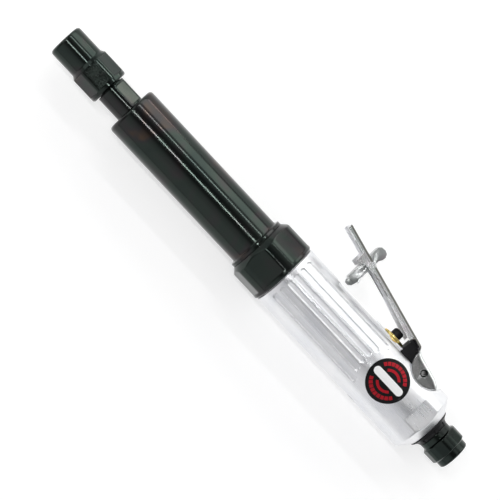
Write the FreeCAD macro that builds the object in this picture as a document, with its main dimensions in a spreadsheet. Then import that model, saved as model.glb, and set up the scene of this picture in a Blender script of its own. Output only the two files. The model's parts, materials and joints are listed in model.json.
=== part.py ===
"""Extended air die grinder, modelled along its spindle.

Bench coordinates: station runs back from the collet mouth, height runs towards the throttle lever and
width towards the badge. Every piece is drawn in them, and the BENCH placement turns it half round the
vertical, so that in the part's frame the collet points to +X, the lever to -Y and the badge to +Z.
"""
import FreeCAD, Part
import Sketcher
import math
import os
import re

V = FreeCAD.Vector
X_AXIS = V(1, 0, 0)
Y_AXIS = V(0, 1, 0)
Z_AXIS = V(0, 0, 1)
BENCH = FreeCAD.Placement(V(0, 0, 0), FreeCAD.Rotation(Z_AXIS, 180))

doc = FreeCAD.newDocument("die_grinder")
sheet = doc.addObject("Spreadsheet::Sheet", "Sizes")

# Driving dimensions in millimetres and degrees. A station is measured back from the collet mouth.
SIZES = {
    # collet, nut and spindle nose
    "shank_bore_radius": 3.05, "collet_length": 27.5, "collet_shoulder_radius": 6.8,
    "nut_nose_radius": 9.45, "nut_nose_length": 16.2, "nut_nose_round": 1.7,
    "nut_hex_start": 18.1, "nut_radius": 10.75, "nut_flats": 19.0, "nut_length": 33.1, "nut_turn": -4.4,
    "thread_radius": 7.2, "thread_start": 12.0, "socket_mouth_radius": 6.35, "socket_root_radius": 4.7,
    # spindle neck and shaft
    "neck_start": 33.4, "neck_radius": 8.0, "neck_flats": 14.0, "neck_turn": 40.9,
    "shaft_radius": 5.5, "shaft_end": 142.0, "tang_radius": 5.0, "tang_flats": 8.0,
    # extension tube
    "tube_start": 47.6, "tube_radius": 14.0, "tube_round": 2.0, "lip_radius": 8.7, "lip_length": 3.0,
    "tube_bore": 12.0, "shoulder_start": 138.4, "shoulder_radius": 15.95, "spigot_radius": 13.5,
    # spindle bearings
    "ball_bearing_bore": 6.0, "spindle_bearing_width": 6.0, "front_bearing": 53.2, "rear_bearing": 124.0,
    "spindle_pitch": 9.0, "spindle_ball": 1.7, "seal_length": 2.2,
    # clamp nut
    "clamp_start": 140.5, "clamp_end": 160.1, "clamp_radius": 18.8, "clamp_flats": 35.2, "clamp_turn": -21.2,
    "clamp_thread": 16.2,
    # motor
    "motor_start": 149.0, "motor_bore": 14.8, "motor_radius": 14.75, "plate_web": 0.9,
    "cylinder_start": 158.1, "cylinder_end": 198.9, "motor_end": 207.5, "cylinder_bore": 12.2,
    "cylinder_offset": 1.5, "rotor_radius": 10.5, "rotor_gap": 0.3, "journal_radius": 5.0,
    "motor_bearing_radius": 11.0, "motor_bearing_width": 6.0, "motor_pitch": 8.0, "motor_ball": 1.6,
    "vane_slot": 1.6, "vane_thickness": 1.5, "vane_root": 6.0,
    # handle
    "handle_start": 160.4, "handle_radius": 18.25, "handle_cone": 261.6, "handle_end": 266.5,
    "handle_rear_radius": 11.7, "wrench_start": 252.9, "wrench_half": 16.7,
    "flute_start": 163.1, "flute_width": 3.0, "flute_depth": 0.8, "flute_pitch": 4.54,
    "badge_station": 233.1, "badge_radius": 11.3, "badge_thickness": 0.35,
    "ledge_start": 182.0, "ledge_end": 238.5, "ledge_height": 15.3, "ridge_half": 6.2,
    "heel_floor": 15.9, "heel_start": 180.5, "heel_end": 209.0, "heel_half": 5.2,
    "pocket_station": 244.6, "pocket_height": 21.5, "pocket_radius": 11.6, "lug_half": 7.0,
    # lever and its pivot
    "pivot_station": 244.1, "pivot_height": 16.6, "pivot_radius": 2.0, "pivot_hollow": 1.4,
    "sheet": 1.3, "lever_half": 8.8, "ear_radius": 10.5, "ear_station": 245.1, "ear_height": 21.55,
    # safety catch
    "catch_station": 186.9, "catch_height": 34.4, "catch_half": 4.8, "catch_sheet": 1.0,
    "paddle_radius": 3.1, "paddle_station": 186.0, "paddle_height": 41.9, "foot_height": 20.0,
    "catch_pin_radius": 1.0,
    # throttle valve
    "valve_station": 221.4, "valve_bore": 5.5, "bushing_rim": 6.25, "bushing_seat": 16.3, "bushing_top": 19.1,
    "pin_radius": 1.9, "pin_head": 3.0, "pin_top": 23.2, "poppet_radius": 3.3, "valve_floor": -8.5,
    "valve_chamber": 4.2,
    # air regulator
    "regulator_station": 228.7, "regulator_radius": 2.6,
    # inlet
    "inlet_bore": 5.7, "inlet_thread": 6.6, "barrel_radius": 7.0, "inlet_collar": 8.65, "inlet_hex": 273.5,
    "inlet_hex_end": 282.0, "inlet_end": 286.0, "relief_start": 274.0, "relief_end": 273.0,
    "relief_radius": 6.0, "inlet_flats": 19.5, "inlet_radius": 10.1, "inlet_turn": -17.0,
    "inlet_nose": 8.75, "deflector_radius": 11.8, "deflector_end": 270.2,
}
for row, (alias, number) in enumerate(SIZES.items(), start=1):
    sheet.set("A%d" % row, alias)
    sheet.set("B%d" % row, str(number))
    sheet.setAlias("B%d" % row, alias)
doc.recompute()

subparts = []


def size(text):
    """The number behind a sheet expression, such as 'neck_radius + 0.1'."""
    return float(sheet.evalExpression(str(text)))


def bound(text):
    """The same expression, written for an object outside the sheet: every alias gets the sheet's name."""
    return re.sub("[a-z_]+", lambda word: "Sizes." + word[0] if word[0] in SIZES else word[0], str(text))


def keep(item, label):
    """Names a finished sub-part and turns it into the part's frame."""
    if any("Placement" in path for path, _ in item.ExpressionEngine):
        holder = doc.addObject("Part::Compound", label + "_holder")
        holder.Links = [item]
        item = holder
    item.Label = label
    item.Placement = BENCH.multiply(item.Placement)
    subparts.append(item)
    return item


def origin_plane(body, role):
    return [plane for plane in body.Origin.OriginFeatures if plane.Role == role][0]


def sketch_outline(body, name, role, points):
    """A closed outline of straight edges, each corner held by two distances from the sheet."""
    sketch = body.newObject("Sketcher::SketchObject", name)
    sketch.AttachmentSupport = [(origin_plane(body, role), "")]
    sketch.MapMode = "FlatFace"
    spots = [V(size(across), size(up), 0) for across, up in points]
    count = len(points)
    for index in range(count):
        sketch.addGeometry(Part.LineSegment(spots[index], spots[(index + 1) % count]), False)
    for index in range(count):
        sketch.addConstraint(Sketcher.Constraint("Coincident", index, 2, (index + 1) % count, 1))
    for index, (across, up) in enumerate(points):
        for kind, text, value in (("DistanceX", across, spots[index].x), ("DistanceY", up, spots[index].y)):
            number = sketch.addConstraint(Sketcher.Constraint(kind, -1, 1, index, 1, value))
            sketch.setExpression("Constraints[%d]" % number, bound(text))
    return sketch


def turned(name, points):
    """A body of revolution about the spindle axis from (station, radius) corners."""
    body = doc.addObject("PartDesign::Body", name)
    sketch = sketch_outline(body, name + "_profile", "XY_Plane", points)
    turn = body.newObject("PartDesign::Revolution", name + "_turn")
    turn.Profile = sketch
    turn.ReferenceAxis = (sketch, ["H_Axis"])
    turn.Angle = 360
    doc.recompute()
    return body


def turned_upright(name, station, points):
    """A body of revolution about an axis that runs towards the lever, from (radius, height) corners."""
    body = doc.addObject("PartDesign::Body", name)
    sketch = sketch_outline(body, name + "_profile", "XY_Plane", points)
    turn = body.newObject("PartDesign::Revolution", name + "_turn")
    turn.Profile = sketch
    turn.ReferenceAxis = (sketch, ["V_Axis"])
    turn.Angle = 360
    doc.recompute()
    body.Placement = FreeCAD.Placement(V(size(station), 0, 0), FreeCAD.Rotation())
    body.setExpression("Placement.Base.x", bound(station))
    return body


def plate(name, half_width, points):
    """A body with a side outline of (station, height) corners, padded evenly about the middle."""
    body = doc.addObject("PartDesign::Body", name)
    sketch = sketch_outline(body, name + "_outline", "XY_Plane", points)
    pad = body.newObject("PartDesign::Pad", name + "_pad")
    pad.Profile = sketch
    pad.Midplane = True
    pad.setExpression("Length", "2 * (%s)" % bound(half_width))
    doc.recompute()
    return body


def round_edges(body, radius, wanted):
    """Rounds the edges of a body's last feature that the test picks."""
    tip = body.Tip
    names = ["Edge%d" % (i + 1) for i, edge in enumerate(tip.Shape.Edges) if wanted(edge)]
    fillet = body.newObject("PartDesign::Fillet", body.Name + "_round%d" % len(body.Group))
    fillet.Base = (tip, names)
    fillet.Radius = size(radius)
    fillet.setExpression("Radius", bound(radius))
    doc.recompute()
    return body


def rim(station, radius):
    """A test for the circular edge at a station with a radius."""
    def wanted(edge):
        curve = edge.Curve
        if not isinstance(curve, Part.Circle):
            return False
        return abs(curve.Center.x - size(station)) < 0.01 and abs(curve.Radius - size(radius)) < 0.01
    return wanted


def rod(name, radius, start, end, axis="X", station="0", height="0", width="0"):
    """A cylinder along station, height or width, from start to end."""
    item = doc.addObject("Part::Cylinder", name)
    turns = {"X": FreeCAD.Rotation(Y_AXIS, 90), "Y": FreeCAD.Rotation(X_AXIS, -90), "Z": FreeCAD.Rotation()}
    base = {"x": station, "y": height, "z": width}
    base[axis.lower()] = start
    item.Placement = FreeCAD.Placement(V(0, 0, 0), turns[axis])
    item.setExpression("Radius", bound(radius))
    item.setExpression("Height", bound("(%s) - (%s)" % (end, start)))
    for letter, text in base.items():
        item.setExpression("Placement.Base." + letter, bound(text))
    return item


def block(name, stations, heights, widths):
    """A box between two stations, two heights and two widths."""
    item = doc.addObject("Part::Box", name)
    for side, letter, (low, high) in (
        ("Length", "x", stations), ("Width", "y", heights), ("Height", "z", widths)
    ):
        item.setExpression(side, bound("(%s) - (%s)" % (high, low)))
        item.setExpression("Placement.Base." + letter, bound(low))
    return item


def ring(name, outer, inner, start, end):
    """A plain ring about the spindle axis."""
    return cut(name, rod(name + "_outside", outer, start, end), [rod(name + "_hole", inner, start, end)])


def donut(name, pitch, radius, station):
    item = doc.addObject("Part::Torus", name)
    item.Placement = FreeCAD.Placement(V(0, 0, 0), FreeCAD.Rotation(Y_AXIS, 90))
    item.setExpression("Radius1", bound(pitch))
    item.setExpression("Radius2", bound(radius))
    item.setExpression("Placement.Base.x", bound(station))
    return item


def fuse(name, items):
    joined = doc.addObject("Part::MultiFuse", name)
    joined.Shapes = items
    return joined


def cut(name, base, tools):
    """The base less every tool, one after another in one boolean."""
    removed = tools[0] if len(tools) == 1 else fuse(name + "_tools", tools)
    item = doc.addObject("Part::Cut", name)
    item.Base = base
    item.Tool = removed
    doc.recompute()
    return item


def common(name, first, second):
    item = doc.addObject("Part::Common", name)
    item.Base = first
    item.Tool = second
    doc.recompute()
    return item


def fixed_shape(name, shape):
    """A feature for shapes that the primitives can't give, such as groups of solids and coils."""
    item = doc.addObject("Part::Feature", name)
    item.Shape = shape
    return item


def hexagon_cutter(name, flats, outside, start, end, turn):
    """What a mill removes to leave six flats: a ring with coned ends less a six-sided prism."""
    lean = 1.2
    mill = turned(name + "_mill", [
        (start, "(%s) / 2" % flats),
        ("(%s) - %g" % (start, lean), "(%s) + 1" % outside),
        ("(%s) - %g" % (end, lean), "(%s) + 1" % outside),
        (end, "(%s) / 2" % flats),
    ])
    prism = doc.addObject("Part::Prism", name + "_prism")
    prism.Polygon = 6
    prism.setExpression("Circumradius", bound("(%s) / sqrt(3)" % flats))
    prism.setExpression("Height", bound("(%s) - (%s) + 4" % (end, start)))
    prism.Placement = FreeCAD.Placement(
        V(size(start) - 2, 0, 0),
        FreeCAD.Rotation(X_AXIS, -size(turn)).multiply(FreeCAD.Rotation(Y_AXIS, 90)).multiply(
            FreeCAD.Rotation(Z_AXIS, 30)),
    )
    prism.setExpression("Placement.Base.x", bound("(%s) - 2" % start))
    return cut(name, mill, [prism])


def bearing(prefix, station, width, bore, outside, pitch, ball, count):
    """A deep-groove ball bearing: two races, a cage and a ring of balls."""
    middle = "(%s) + (%s) / 2" % (station, width)
    end = "(%s) + (%s)" % (station, width)
    groove = "(%s) + 0.08" % ball
    land = "(%s) * 0.72" % ball
    outer = ring(prefix + "_outer_blank", outside, "(%s) + %s" % (pitch, land), station, end)
    inner = ring(prefix + "_inner_blank", "(%s) - %s" % (pitch, land), bore, station, end)
    keep(cut(prefix + "_outer", outer, [donut(prefix + "_outer_track", pitch, groove, middle)]),
         prefix + "_outer_race")
    keep(cut(prefix + "_inner", inner, [donut(prefix + "_inner_track", pitch, groove, middle)]),
         prefix + "_inner_race")
    centres = []
    for index in range(count):
        angle = 2 * math.pi * index / count
        centres.append(V(size(middle), size(pitch) * math.cos(angle), size(pitch) * math.sin(angle)))
    balls = Part.makeCompound([Part.makeSphere(size(ball), centre) for centre in centres])
    keep(fixed_shape(prefix + "_ball_set", balls), prefix + "_balls")
    band = ring(prefix + "_cage_blank", "(%s) + 0.4" % pitch, "(%s) - 0.4" % pitch,
                "%s - (%s) - 0.5" % (middle, ball), "%s + (%s) + 0.5" % (middle, ball))
    pockets = Part.makeCompound([Part.makeSphere(size(ball) + 0.05, centre) for centre in centres])
    keep(cut(prefix + "_cage_cut", band, [fixed_shape(prefix + "_pockets", pockets)]), prefix + "_cage")


def coil(pitch, height, radius, wire):
    """A wound spring with its axis along Z, starting at the origin: one smooth line through 12 points a turn."""
    points_a_turn = 12
    line = Part.BSplineCurve()
    line.interpolate([
        V(radius * math.cos(angle), radius * math.sin(angle), pitch * angle / math.tau)
        for angle in (step * math.tau / points_a_turn for step in range(round(points_a_turn * height / pitch) + 1))
    ])
    start = Part.Circle(V(radius, 0, 0), line.tangent(line.FirstParameter)[0], wire)
    return Part.Wire([line.toShape()]).makePipeShell([Part.Wire([start.toShape()])], True, True)


# ---------------------------------------------------------------- collet, nut and spindle
def make_collet():
    body = turned("collet_body", [
        ("0", "shank_bore_radius"), ("0", "shank_bore_radius + 0.9"), ("0.8", "shank_bore_radius + 0.9"),
        ("5.2", "collet_shoulder_radius"), ("11", "collet_shoulder_radius"),
        ("thread_start - 0.5", "socket_mouth_radius - 0.05"), ("collet_length", "socket_root_radius - 0.05"),
        ("collet_length", "shank_bore_radius"),
    ])
    slit = 0.35
    reach = "collet_shoulder_radius + 1"
    slits = [
        block("collet_slit_a", ("-1", "22"), ("-(%s)" % reach, reach), (-slit, slit)),
        block("collet_slit_b", ("-1", "22"), (-slit, slit), ("-(%s)" % reach, reach)),
    ]
    keep(cut("collet_cut", body, slits), "collet")


def make_collet_nut():
    body = turned("nut_body", [
        ("0", "4.15"), ("0", "nut_nose_radius"), ("nut_nose_length", "nut_nose_radius"),
        ("nut_hex_start", "nut_radius"), ("nut_length - 0.8", "nut_radius"), ("nut_length", "nut_radius - 0.8"),
        ("nut_length", "thread_radius + 0.1"), ("5.3", "thread_radius + 0.1"), ("5.3", "7.05"), ("0.9", "4.15"),
    ])
    round_edges(body, "nut_nose_round", rim("0", "nut_nose_radius"))
    flats = hexagon_cutter("nut_flats_cut", "nut_flats", "nut_radius", "nut_hex_start + 0.4",
                           "nut_length - 2.7", "nut_turn")
    keep(cut("nut_cut", body, [flats]), "collet_nut")


def make_spindle():
    body = turned("spindle_body", [
        ("thread_start", "socket_mouth_radius"), ("thread_start", "thread_radius"), ("31.5", "thread_radius"),
        ("31.5", "thread_radius - 0.6"), ("neck_start", "thread_radius - 0.6"), ("neck_start", "neck_radius"),
        ("front_bearing - 0.2", "neck_radius"), ("front_bearing - 0.2", "ball_bearing_bore"),
        ("front_bearing + spindle_bearing_width + 0.8", "ball_bearing_bore"),
        ("front_bearing + spindle_bearing_width + 0.8", "shaft_radius"),
        ("rear_bearing - 0.2", "shaft_radius"), ("rear_bearing - 0.2", "ball_bearing_bore"),
        ("rear_bearing + spindle_bearing_width + 1", "ball_bearing_bore"),
        ("rear_bearing + spindle_bearing_width + 1", "tang_radius"), ("shaft_end", "tang_radius"),
        ("shaft_end", "0"), ("45", "0"), ("45", "shank_bore_radius + 0.05"), ("28", "shank_bore_radius + 0.05"),
        ("28", "socket_root_radius"),
    ])
    tools = []
    for half_turn in (0, 180):
        tools.append(fixed_shape("neck_flat%d" % half_turn, neck_slab(size("neck_turn") + half_turn)))
    for side in (1, -1):
        low, high = ("tang_flats / 2", "tang_flats / 2 + 3")
        if side < 0:
            low, high = "-(%s)" % high, "-(%s)" % low
        tools.append(block("spindle_tang%d" % (side + 2), ("134", "shaft_end + 1"), (low, high), (-8, 8)))
    keep(cut("spindle_cut", body, tools), "extension_spindle")


def neck_slab(turn):
    """The slab that a wrench flat takes off the neck, turned about the axis from the badge side."""
    start = size("neck_start + 1")
    slab = Part.makeBox(size("tube_start - 0.6") - start, 20, 3, V(start, -10, size("neck_flats") / 2))
    slab.rotate(V(0, 0, 0), X_AXIS, -turn)
    return slab


def make_extension():
    body = turned("tube_body", [
        ("tube_start", "lip_radius"), ("tube_start", "tube_radius"), ("shoulder_start", "tube_radius"),
        ("shoulder_start", "shoulder_radius"), ("clamp_start", "shoulder_radius"),
        ("clamp_start", "spigot_radius"), ("motor_start", "spigot_radius"), ("motor_start", "tube_bore"),
        ("131.6", "tube_bore"), ("131.6", "tube_bore + 0.75"), ("130.2", "tube_bore + 0.75"),
        ("130.2", "tube_bore"), ("tube_start + lip_length", "tube_bore"), ("tube_start + lip_length", "lip_radius"),
    ])
    round_edges(body, "tube_round", rim("tube_start", "tube_radius"))
    round_edges(body, "tube_round - 0.15", rim("shoulder_start", "tube_radius"))
    keep(body, "extension_tube")
    keep(ring("seal_ring", "tube_bore - 0.05", "neck_radius + 0.15", "tube_start + lip_length + 0.1",
              "tube_start + lip_length + 0.1 + seal_length"), "dust_seal")
    keep(ring("spacer_ring", "tube_bore", "tube_bore - 1.4", "front_bearing + spindle_bearing_width",
              "rear_bearing"), "bearing_spacer")
    snap = ring("snap_ring", "tube_bore + 0.7", "tube_bore - 1.6", "130.3", "131.5")
    gap = block("snap_gap", ("130", "132"), (-14, -9), (-2, 2))
    keep(cut("snap_cut", snap, [gap]), "bearing_retaining_ring")
    for name, station in (("front_spindle_bearing", "front_bearing"), ("rear_spindle_bearing", "rear_bearing")):
        bearing(name, station, "spindle_bearing_width", "ball_bearing_bore", "tube_bore", "spindle_pitch",
                "spindle_ball", 11)


def make_clamp_nut():
    body = turned("clamp_body", [
        ("clamp_start", "spigot_radius"), ("clamp_start", "shoulder_radius"), ("clamp_start + 3.1", "clamp_radius"),
        ("clamp_end - 0.9", "clamp_radius"), ("clamp_end", "clamp_radius - 0.9"), ("clamp_end", "clamp_thread"),
        ("motor_start", "clamp_thread"), ("motor_start", "spigot_radius"),
    ])
    flats = hexagon_cutter("clamp_flats_cut", "clamp_flats", "clamp_radius", "clamp_start - 1",
                           "clamp_end - 2.4", "clamp_turn")
    keep(cut("clamp_cut", body, [flats]), "clamp_nut")


# ---------------------------------------------------------------- motor
def make_motor():
    plate_front = turned("front_plate_body", [
        ("motor_start", "motor_bearing_radius - 1"), ("motor_start", "motor_radius"),
        ("cylinder_start", "motor_radius"), ("cylinder_start", "journal_radius + 1.5"),
        ("cylinder_start - plate_web", "journal_radius + 1.5"),
        ("cylinder_start - plate_web", "motor_bearing_radius"),
        ("cylinder_start - plate_web - motor_bearing_width", "motor_bearing_radius"),
        ("cylinder_start - plate_web - motor_bearing_width", "motor_bearing_radius - 1"),
    ])
    dowel_hole = ("1.05", "cylinder_start - 3", "cylinder_end + 4")
    keep(cut("front_plate_cut", plate_front, [rod("dowel_hole_a", *dowel_hole, height="-12.6")]),
         "front_end_plate")
    plate_rear = turned("rear_plate_body", [
        ("cylinder_end", "journal_radius + 1.5"), ("cylinder_end", "motor_radius"), ("motor_end", "motor_radius"),
        ("motor_end", "motor_bearing_radius"), ("motor_end - motor_bearing_width", "motor_bearing_radius"),
        ("motor_end - motor_bearing_width", "journal_radius + 1.5"),
    ])
    feed = rod("plate_feed", "1.5", "cylinder_end - 1", "motor_end + 1", height="12.8")
    keep(cut("rear_plate_cut", plate_rear, [rod("dowel_hole_b", *dowel_hole, height="-12.6"), feed]),
         "rear_end_plate")
    shell = rod("cylinder_shell", "motor_radius", "cylinder_start", "cylinder_end")
    hollow = rod("cylinder_hollow", "cylinder_bore", "cylinder_start - 1", "cylinder_end + 1",
                 height="cylinder_offset")
    ports = [
        block("exhaust_port%d" % index, (start, start + 4), (-4, -1), ("-20", "-10"))
        for index, start in enumerate((164, 172, 180, 188))
    ]
    keep(cut("cylinder_cut", shell, [hollow, rod("dowel_hole_c", *dowel_hole, height="-12.6")] + ports),
         "motor_cylinder")
    keep(rod("dowel", "1.0", "cylinder_start - 2.8", "cylinder_end + 3.8", height="-12.6"), "cylinder_dowel")
    boss = "journal_radius + 1.2"
    body = turned("rotor_body", [
        ("shaft_end + 0.4", "0"), ("shaft_end + 0.4", "journal_radius"),
        ("cylinder_start - 0.6", "journal_radius"), ("cylinder_start - 0.6", boss),
        ("cylinder_start + rotor_gap", boss), ("cylinder_start + rotor_gap", "rotor_radius"),
        ("cylinder_end - rotor_gap", "rotor_radius"), ("cylinder_end - rotor_gap", boss),
        ("cylinder_end + 0.6", boss), ("cylinder_end + 0.6", "journal_radius"),
        ("motor_end", "journal_radius"), ("motor_end", "0"),
    ])
    slots = []
    vanes = []
    length = size("cylinder_end - cylinder_start - 2 * rotor_gap")
    depth = size("rotor_radius - vane_root")
    for index in range(5):
        for thickness, start, run, reach, found in (
            (size("vane_slot"), size("cylinder_start + rotor_gap") - 0.5, length + 1, depth + 1, slots),
            (size("vane_thickness"), size("cylinder_start + rotor_gap") + 0.1, length - 0.2, depth - 0.05, vanes),
        ):
            slab = Part.makeBox(run, thickness, reach, V(start, -thickness / 2, size("vane_root")))
            slab.rotate(V(0, 0, 0), X_AXIS, 72 * index + 20)
            found.append(slab)
    tools = [fixed_shape("vane_slots", Part.makeCompound(slots))]
    for side in (1, -1):
        low, high = ("tang_flats / 2", "tang_flats / 2 + 3")
        if side < 0:
            low, high = "-(%s)" % high, "-(%s)" % low
        tools.append(block("rotor_tang%d" % (side + 2), ("shaft_end", "150"), (low, high), (-8, 8)))
    keep(cut("rotor_cut", body, tools), "rotor")
    keep(fixed_shape("vane_set", Part.makeCompound(vanes)), "rotor_vanes")
    sleeve = rod("coupling_sleeve", "7.5", "134.4", "149.6")
    round_hole = rod("coupling_round", "tang_radius", "134", "150")
    flat_hole = block("coupling_flats", ("134", "150"), ("-tang_flats / 2", "tang_flats / 2"), (-8, 8))
    keep(cut("coupling_cut", sleeve, [common("coupling_hole", round_hole, flat_hole)]), "drive_coupling")
    for name, station in (
        ("front_rotor_bearing", "cylinder_start - plate_web - motor_bearing_width"),
        ("rear_rotor_bearing", "motor_end - motor_bearing_width"),
    ):
        bearing(name, station, "motor_bearing_width", "journal_radius", "motor_bearing_radius", "motor_pitch",
                "motor_ball", 10)


# ---------------------------------------------------------------- handle
def flute_tool():
    """Six parallel flutes a side, their rear ends on an arc round the badge, with floors that follow the grip."""
    solids = []
    half = size("flute_width") / 2
    start = size("flute_start")
    reach = size("badge_radius") + 4.3
    for index in range(6):
        height = (index - 2.5) * size("flute_pitch")
        end = size("badge_station") - math.sqrt(reach ** 2 - height ** 2)
        slab = Part.makeBox(end - start - 2 * half, 2 * half, 50, V(start + half, height - half, -25))
        for centre in (start + half, end - half):
            slab = slab.fuse(Part.makeCylinder(half, 50, V(centre, height, -25), Z_AXIS))
        solids.append(slab)
    core = Part.makeCylinder(size("handle_radius - flute_depth"), 80, V(start - 5, 0, 0), X_AXIS)
    return fixed_shape("flutes", Part.makeCompound([slab.cut(core) for slab in solids]))


def make_handle():
    body = turned("handle_body", [
        ("motor_start + 1", "motor_bore"), ("motor_start + 1", "clamp_thread"), ("handle_start", "clamp_thread"),
        ("handle_start", "handle_radius"), ("handle_cone", "handle_radius"), ("handle_end", "handle_rear_radius"),
        ("handle_end", "10.9"), ("261.5", "10.9"), ("261.5", "7.7"), ("handle_end", "7.7"),
        ("handle_end", "inlet_thread + 0.05"), ("252.3", "inlet_thread + 0.05"), ("252.3", "0"),
        ("motor_end", "0"), ("motor_end", "motor_bore"),
    ])
    tools = [flute_tool()]
    big = "handle_radius + 5"
    for index, side in enumerate((1, -1)):
        def band(low, high):
            return (low, high) if side > 0 else ("-(%s)" % high, "-(%s)" % low)
        tools.append(block("wrench_flat%d" % index, ("wrench_start", "handle_end + 1"), (-20, 20),
                           band("wrench_half", big)))
        tools.append(block("ledge%d" % index, ("ledge_start", "ledge_end"), ("ledge_height", big),
                           band("ridge_half", big)))
        low, high = band("lug_half", big)
        tools.append(rod("ear_pocket%d" % index, "pocket_radius", low, high, "Z", "pocket_station", "pocket_height"))
        for level in (4.7, -4.7):
            tools.append(rod("exhaust_way%d_%d" % (index, level > 0), "1.6", "motor_end + 3", "262",
                             height=str(level), width=str(8.1 * side)))
    tools.append(block("heel_slot", ("heel_start", "heel_end"), ("heel_floor", big), ("-heel_half", "heel_half")))
    tools.append(plate("lug_relief", "lug_half + 0.1", [
        ("244", "30"), ("244", "18.2"), ("249.5", "16.9"), ("256.4", "15"), ("256.4", "30"),
    ]))
    gallery = common("gallery", rod("gallery_round", "13.6", "motor_end - 1", "motor_end + 4"),
                     block("gallery_half", ("motor_end - 1", "motor_end + 4"), (-15, 8), (-15, 15)))
    tools.append(gallery)
    tools.append(rod("feed_way", "1.5", "motor_end - 1", "valve_station", height="12.8"))
    tools.append(rod("valve_way", "valve_bore", "0", big, "Y", "valve_station"))
    tools.append(rod("chamber_way", "valve_chamber", "valve_floor", "1", "Y", "valve_station"))
    tools.append(rod("bushing_way", "bushing_rim + 0.1", "bushing_seat", big, "Y", "valve_station"))
    tools.append(rod("inlet_way", "2.4", "valve_station", "253", height="-3.6"))
    tools.append(rod("pivot_way", "pivot_radius", "-20", "20", "Z", "pivot_station", "pivot_height"))
    tools.append(rod("regulator_way", "regulator_radius + 0.05", "-20", "-0.3", "Y", "regulator_station"))
    tools.append(rod("clip_groove", "regulator_radius + 0.6", "-17.1", "-16.4", "Y", "regulator_station"))
    keep(cut("handle_cut", body, tools), "handle")
    face = common(
        "badge_disc",
        rod("badge_round", "badge_radius", "0", "30", "Z", "badge_station"),
        ring("badge_shell", "handle_radius + badge_thickness", "handle_radius", "badge_station - 15",
             "badge_station + 15"),
    )
    keep(face, "name_badge")


# ---------------------------------------------------------------- throttle valve and regulator
def make_valve():
    body = turned_upright("bushing_body", "valve_station", [
        ("pin_radius + 0.08", "14.8"), ("2.6", "14.8"), ("2.6", "0"), ("valve_bore - 0.05", "0"),
        ("valve_bore - 0.05", "bushing_seat"), ("valve_bore", "bushing_seat"), ("bushing_rim", "bushing_seat + 1.6"),
        ("bushing_rim", "bushing_top - 0.3"), ("bushing_rim - 0.4", "bushing_top"), ("4.2", "bushing_top"),
        ("3.5", "bushing_seat + 0.8"), ("pin_radius + 0.08", "bushing_seat + 0.8"),
    ])
    keep(cut("bushing_cut", body, [rod("bushing_port", "1.5", "valve_station - 7", "valve_station", height="12.8")]),
         "valve_bushing")
    pin = turned_upright("pin_body", "valve_station", [
        ("0", "-0.9"), ("pin_radius", "-0.9"), ("pin_radius", "pin_top - 4.1"), ("pin_head", "pin_top - 4.1"),
        ("pin_head", "pin_top"), ("0", "pin_top"),
    ])
    pin.Placement = FreeCAD.Placement()
    top = size("pin_top")
    round_edges(pin, "pin_head - 0.1", lambda edge: isinstance(edge.Curve, Part.Circle)
                and abs(edge.Curve.Center.y - top) < 0.01)
    keep(pin, "push_pin")
    keep(turned_upright("poppet_body", "valve_station", [
        ("0", "-0.9"), ("poppet_radius - 1", "-0.9"), ("poppet_radius - 1", "-1.35"), ("poppet_radius", "-1.35"),
        ("poppet_radius", "-2.5"), ("1.7", "-2.5"), ("1.7", "-4"), ("0", "-4"),
    ]), "throttle_valve")
    washer = doc.addObject("Part::Torus", "valve_ring")
    washer.Placement = FreeCAD.Placement(V(0, 0, 0), FreeCAD.Rotation(X_AXIS, -90))
    washer.setExpression("Radius1", bound("poppet_radius - 0.4"))
    washer.Radius2 = 0.6
    washer.setExpression("Placement.Base.x", bound("valve_station"))
    washer.setExpression("Placement.Base.y", "-0.7")
    keep(washer, "valve_o_ring")
    spring = fixed_shape("valve_coil", coil(1.2, 4.9, 2.4, 0.3))
    spring.Placement = FreeCAD.Placement(V(size("valve_station"), -8.15, 0), FreeCAD.Rotation(X_AXIS, -90))
    keep(spring, "valve_spring")


def make_regulator():
    body = turned_upright("regulator_body", "regulator_station", [
        ("0", "-17.2"), ("regulator_radius - 0.9", "-17.2"), ("regulator_radius - 0.9", "-16.2"),
        ("regulator_radius", "-16.2"), ("regulator_radius", "-11.6"), ("regulator_radius - 0.8", "-11.6"),
        ("regulator_radius - 0.8", "-10.2"), ("regulator_radius", "-10.2"), ("regulator_radius", "-0.5"), ("0", "-0.5"),
    ])
    tools = [
        rod("regulator_port", "1.7", "regulator_station - 5", "regulator_station + 5", height="-3.6"),
        block("driver_slot", ("regulator_station - 3", "regulator_station + 3"), (-18, -16.5), (-0.4, 0.4)),
    ]
    keep(cut("regulator_cut", body, tools), "air_regulator")
    washer = doc.addObject("Part::Torus", "regulator_ring")
    washer.Placement = FreeCAD.Placement(V(0, 0, 0), FreeCAD.Rotation(X_AXIS, -90))
    washer.setExpression("Radius1", bound("regulator_radius - 0.4"))
    washer.Radius2 = 0.4
    washer.setExpression("Placement.Base.x", bound("regulator_station"))
    washer.setExpression("Placement.Base.y", "-10.9")
    keep(washer, "regulator_o_ring")
    outside = rod("clip_outside", "regulator_radius + 0.55", "-17.05", "-16.45", "Y", "regulator_station")
    tools = [
        rod("clip_hole", "regulator_radius - 0.75", "-18", "-16", "Y", "regulator_station"),
        block("clip_gap", ("regulator_station - 0.8", "regulator_station + 0.8"), (-18, -16), (1, 5)),
    ]
    keep(cut("clip_cut", outside, tools), "regulator_clip")


# ---------------------------------------------------------------- lever and safety catch
def lever_top(station):
    """Height of the lever's top line, as an expression, at a station ahead of the step."""
    return "25.0 + 0.239 * (234.1 - (%s))" % station


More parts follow.
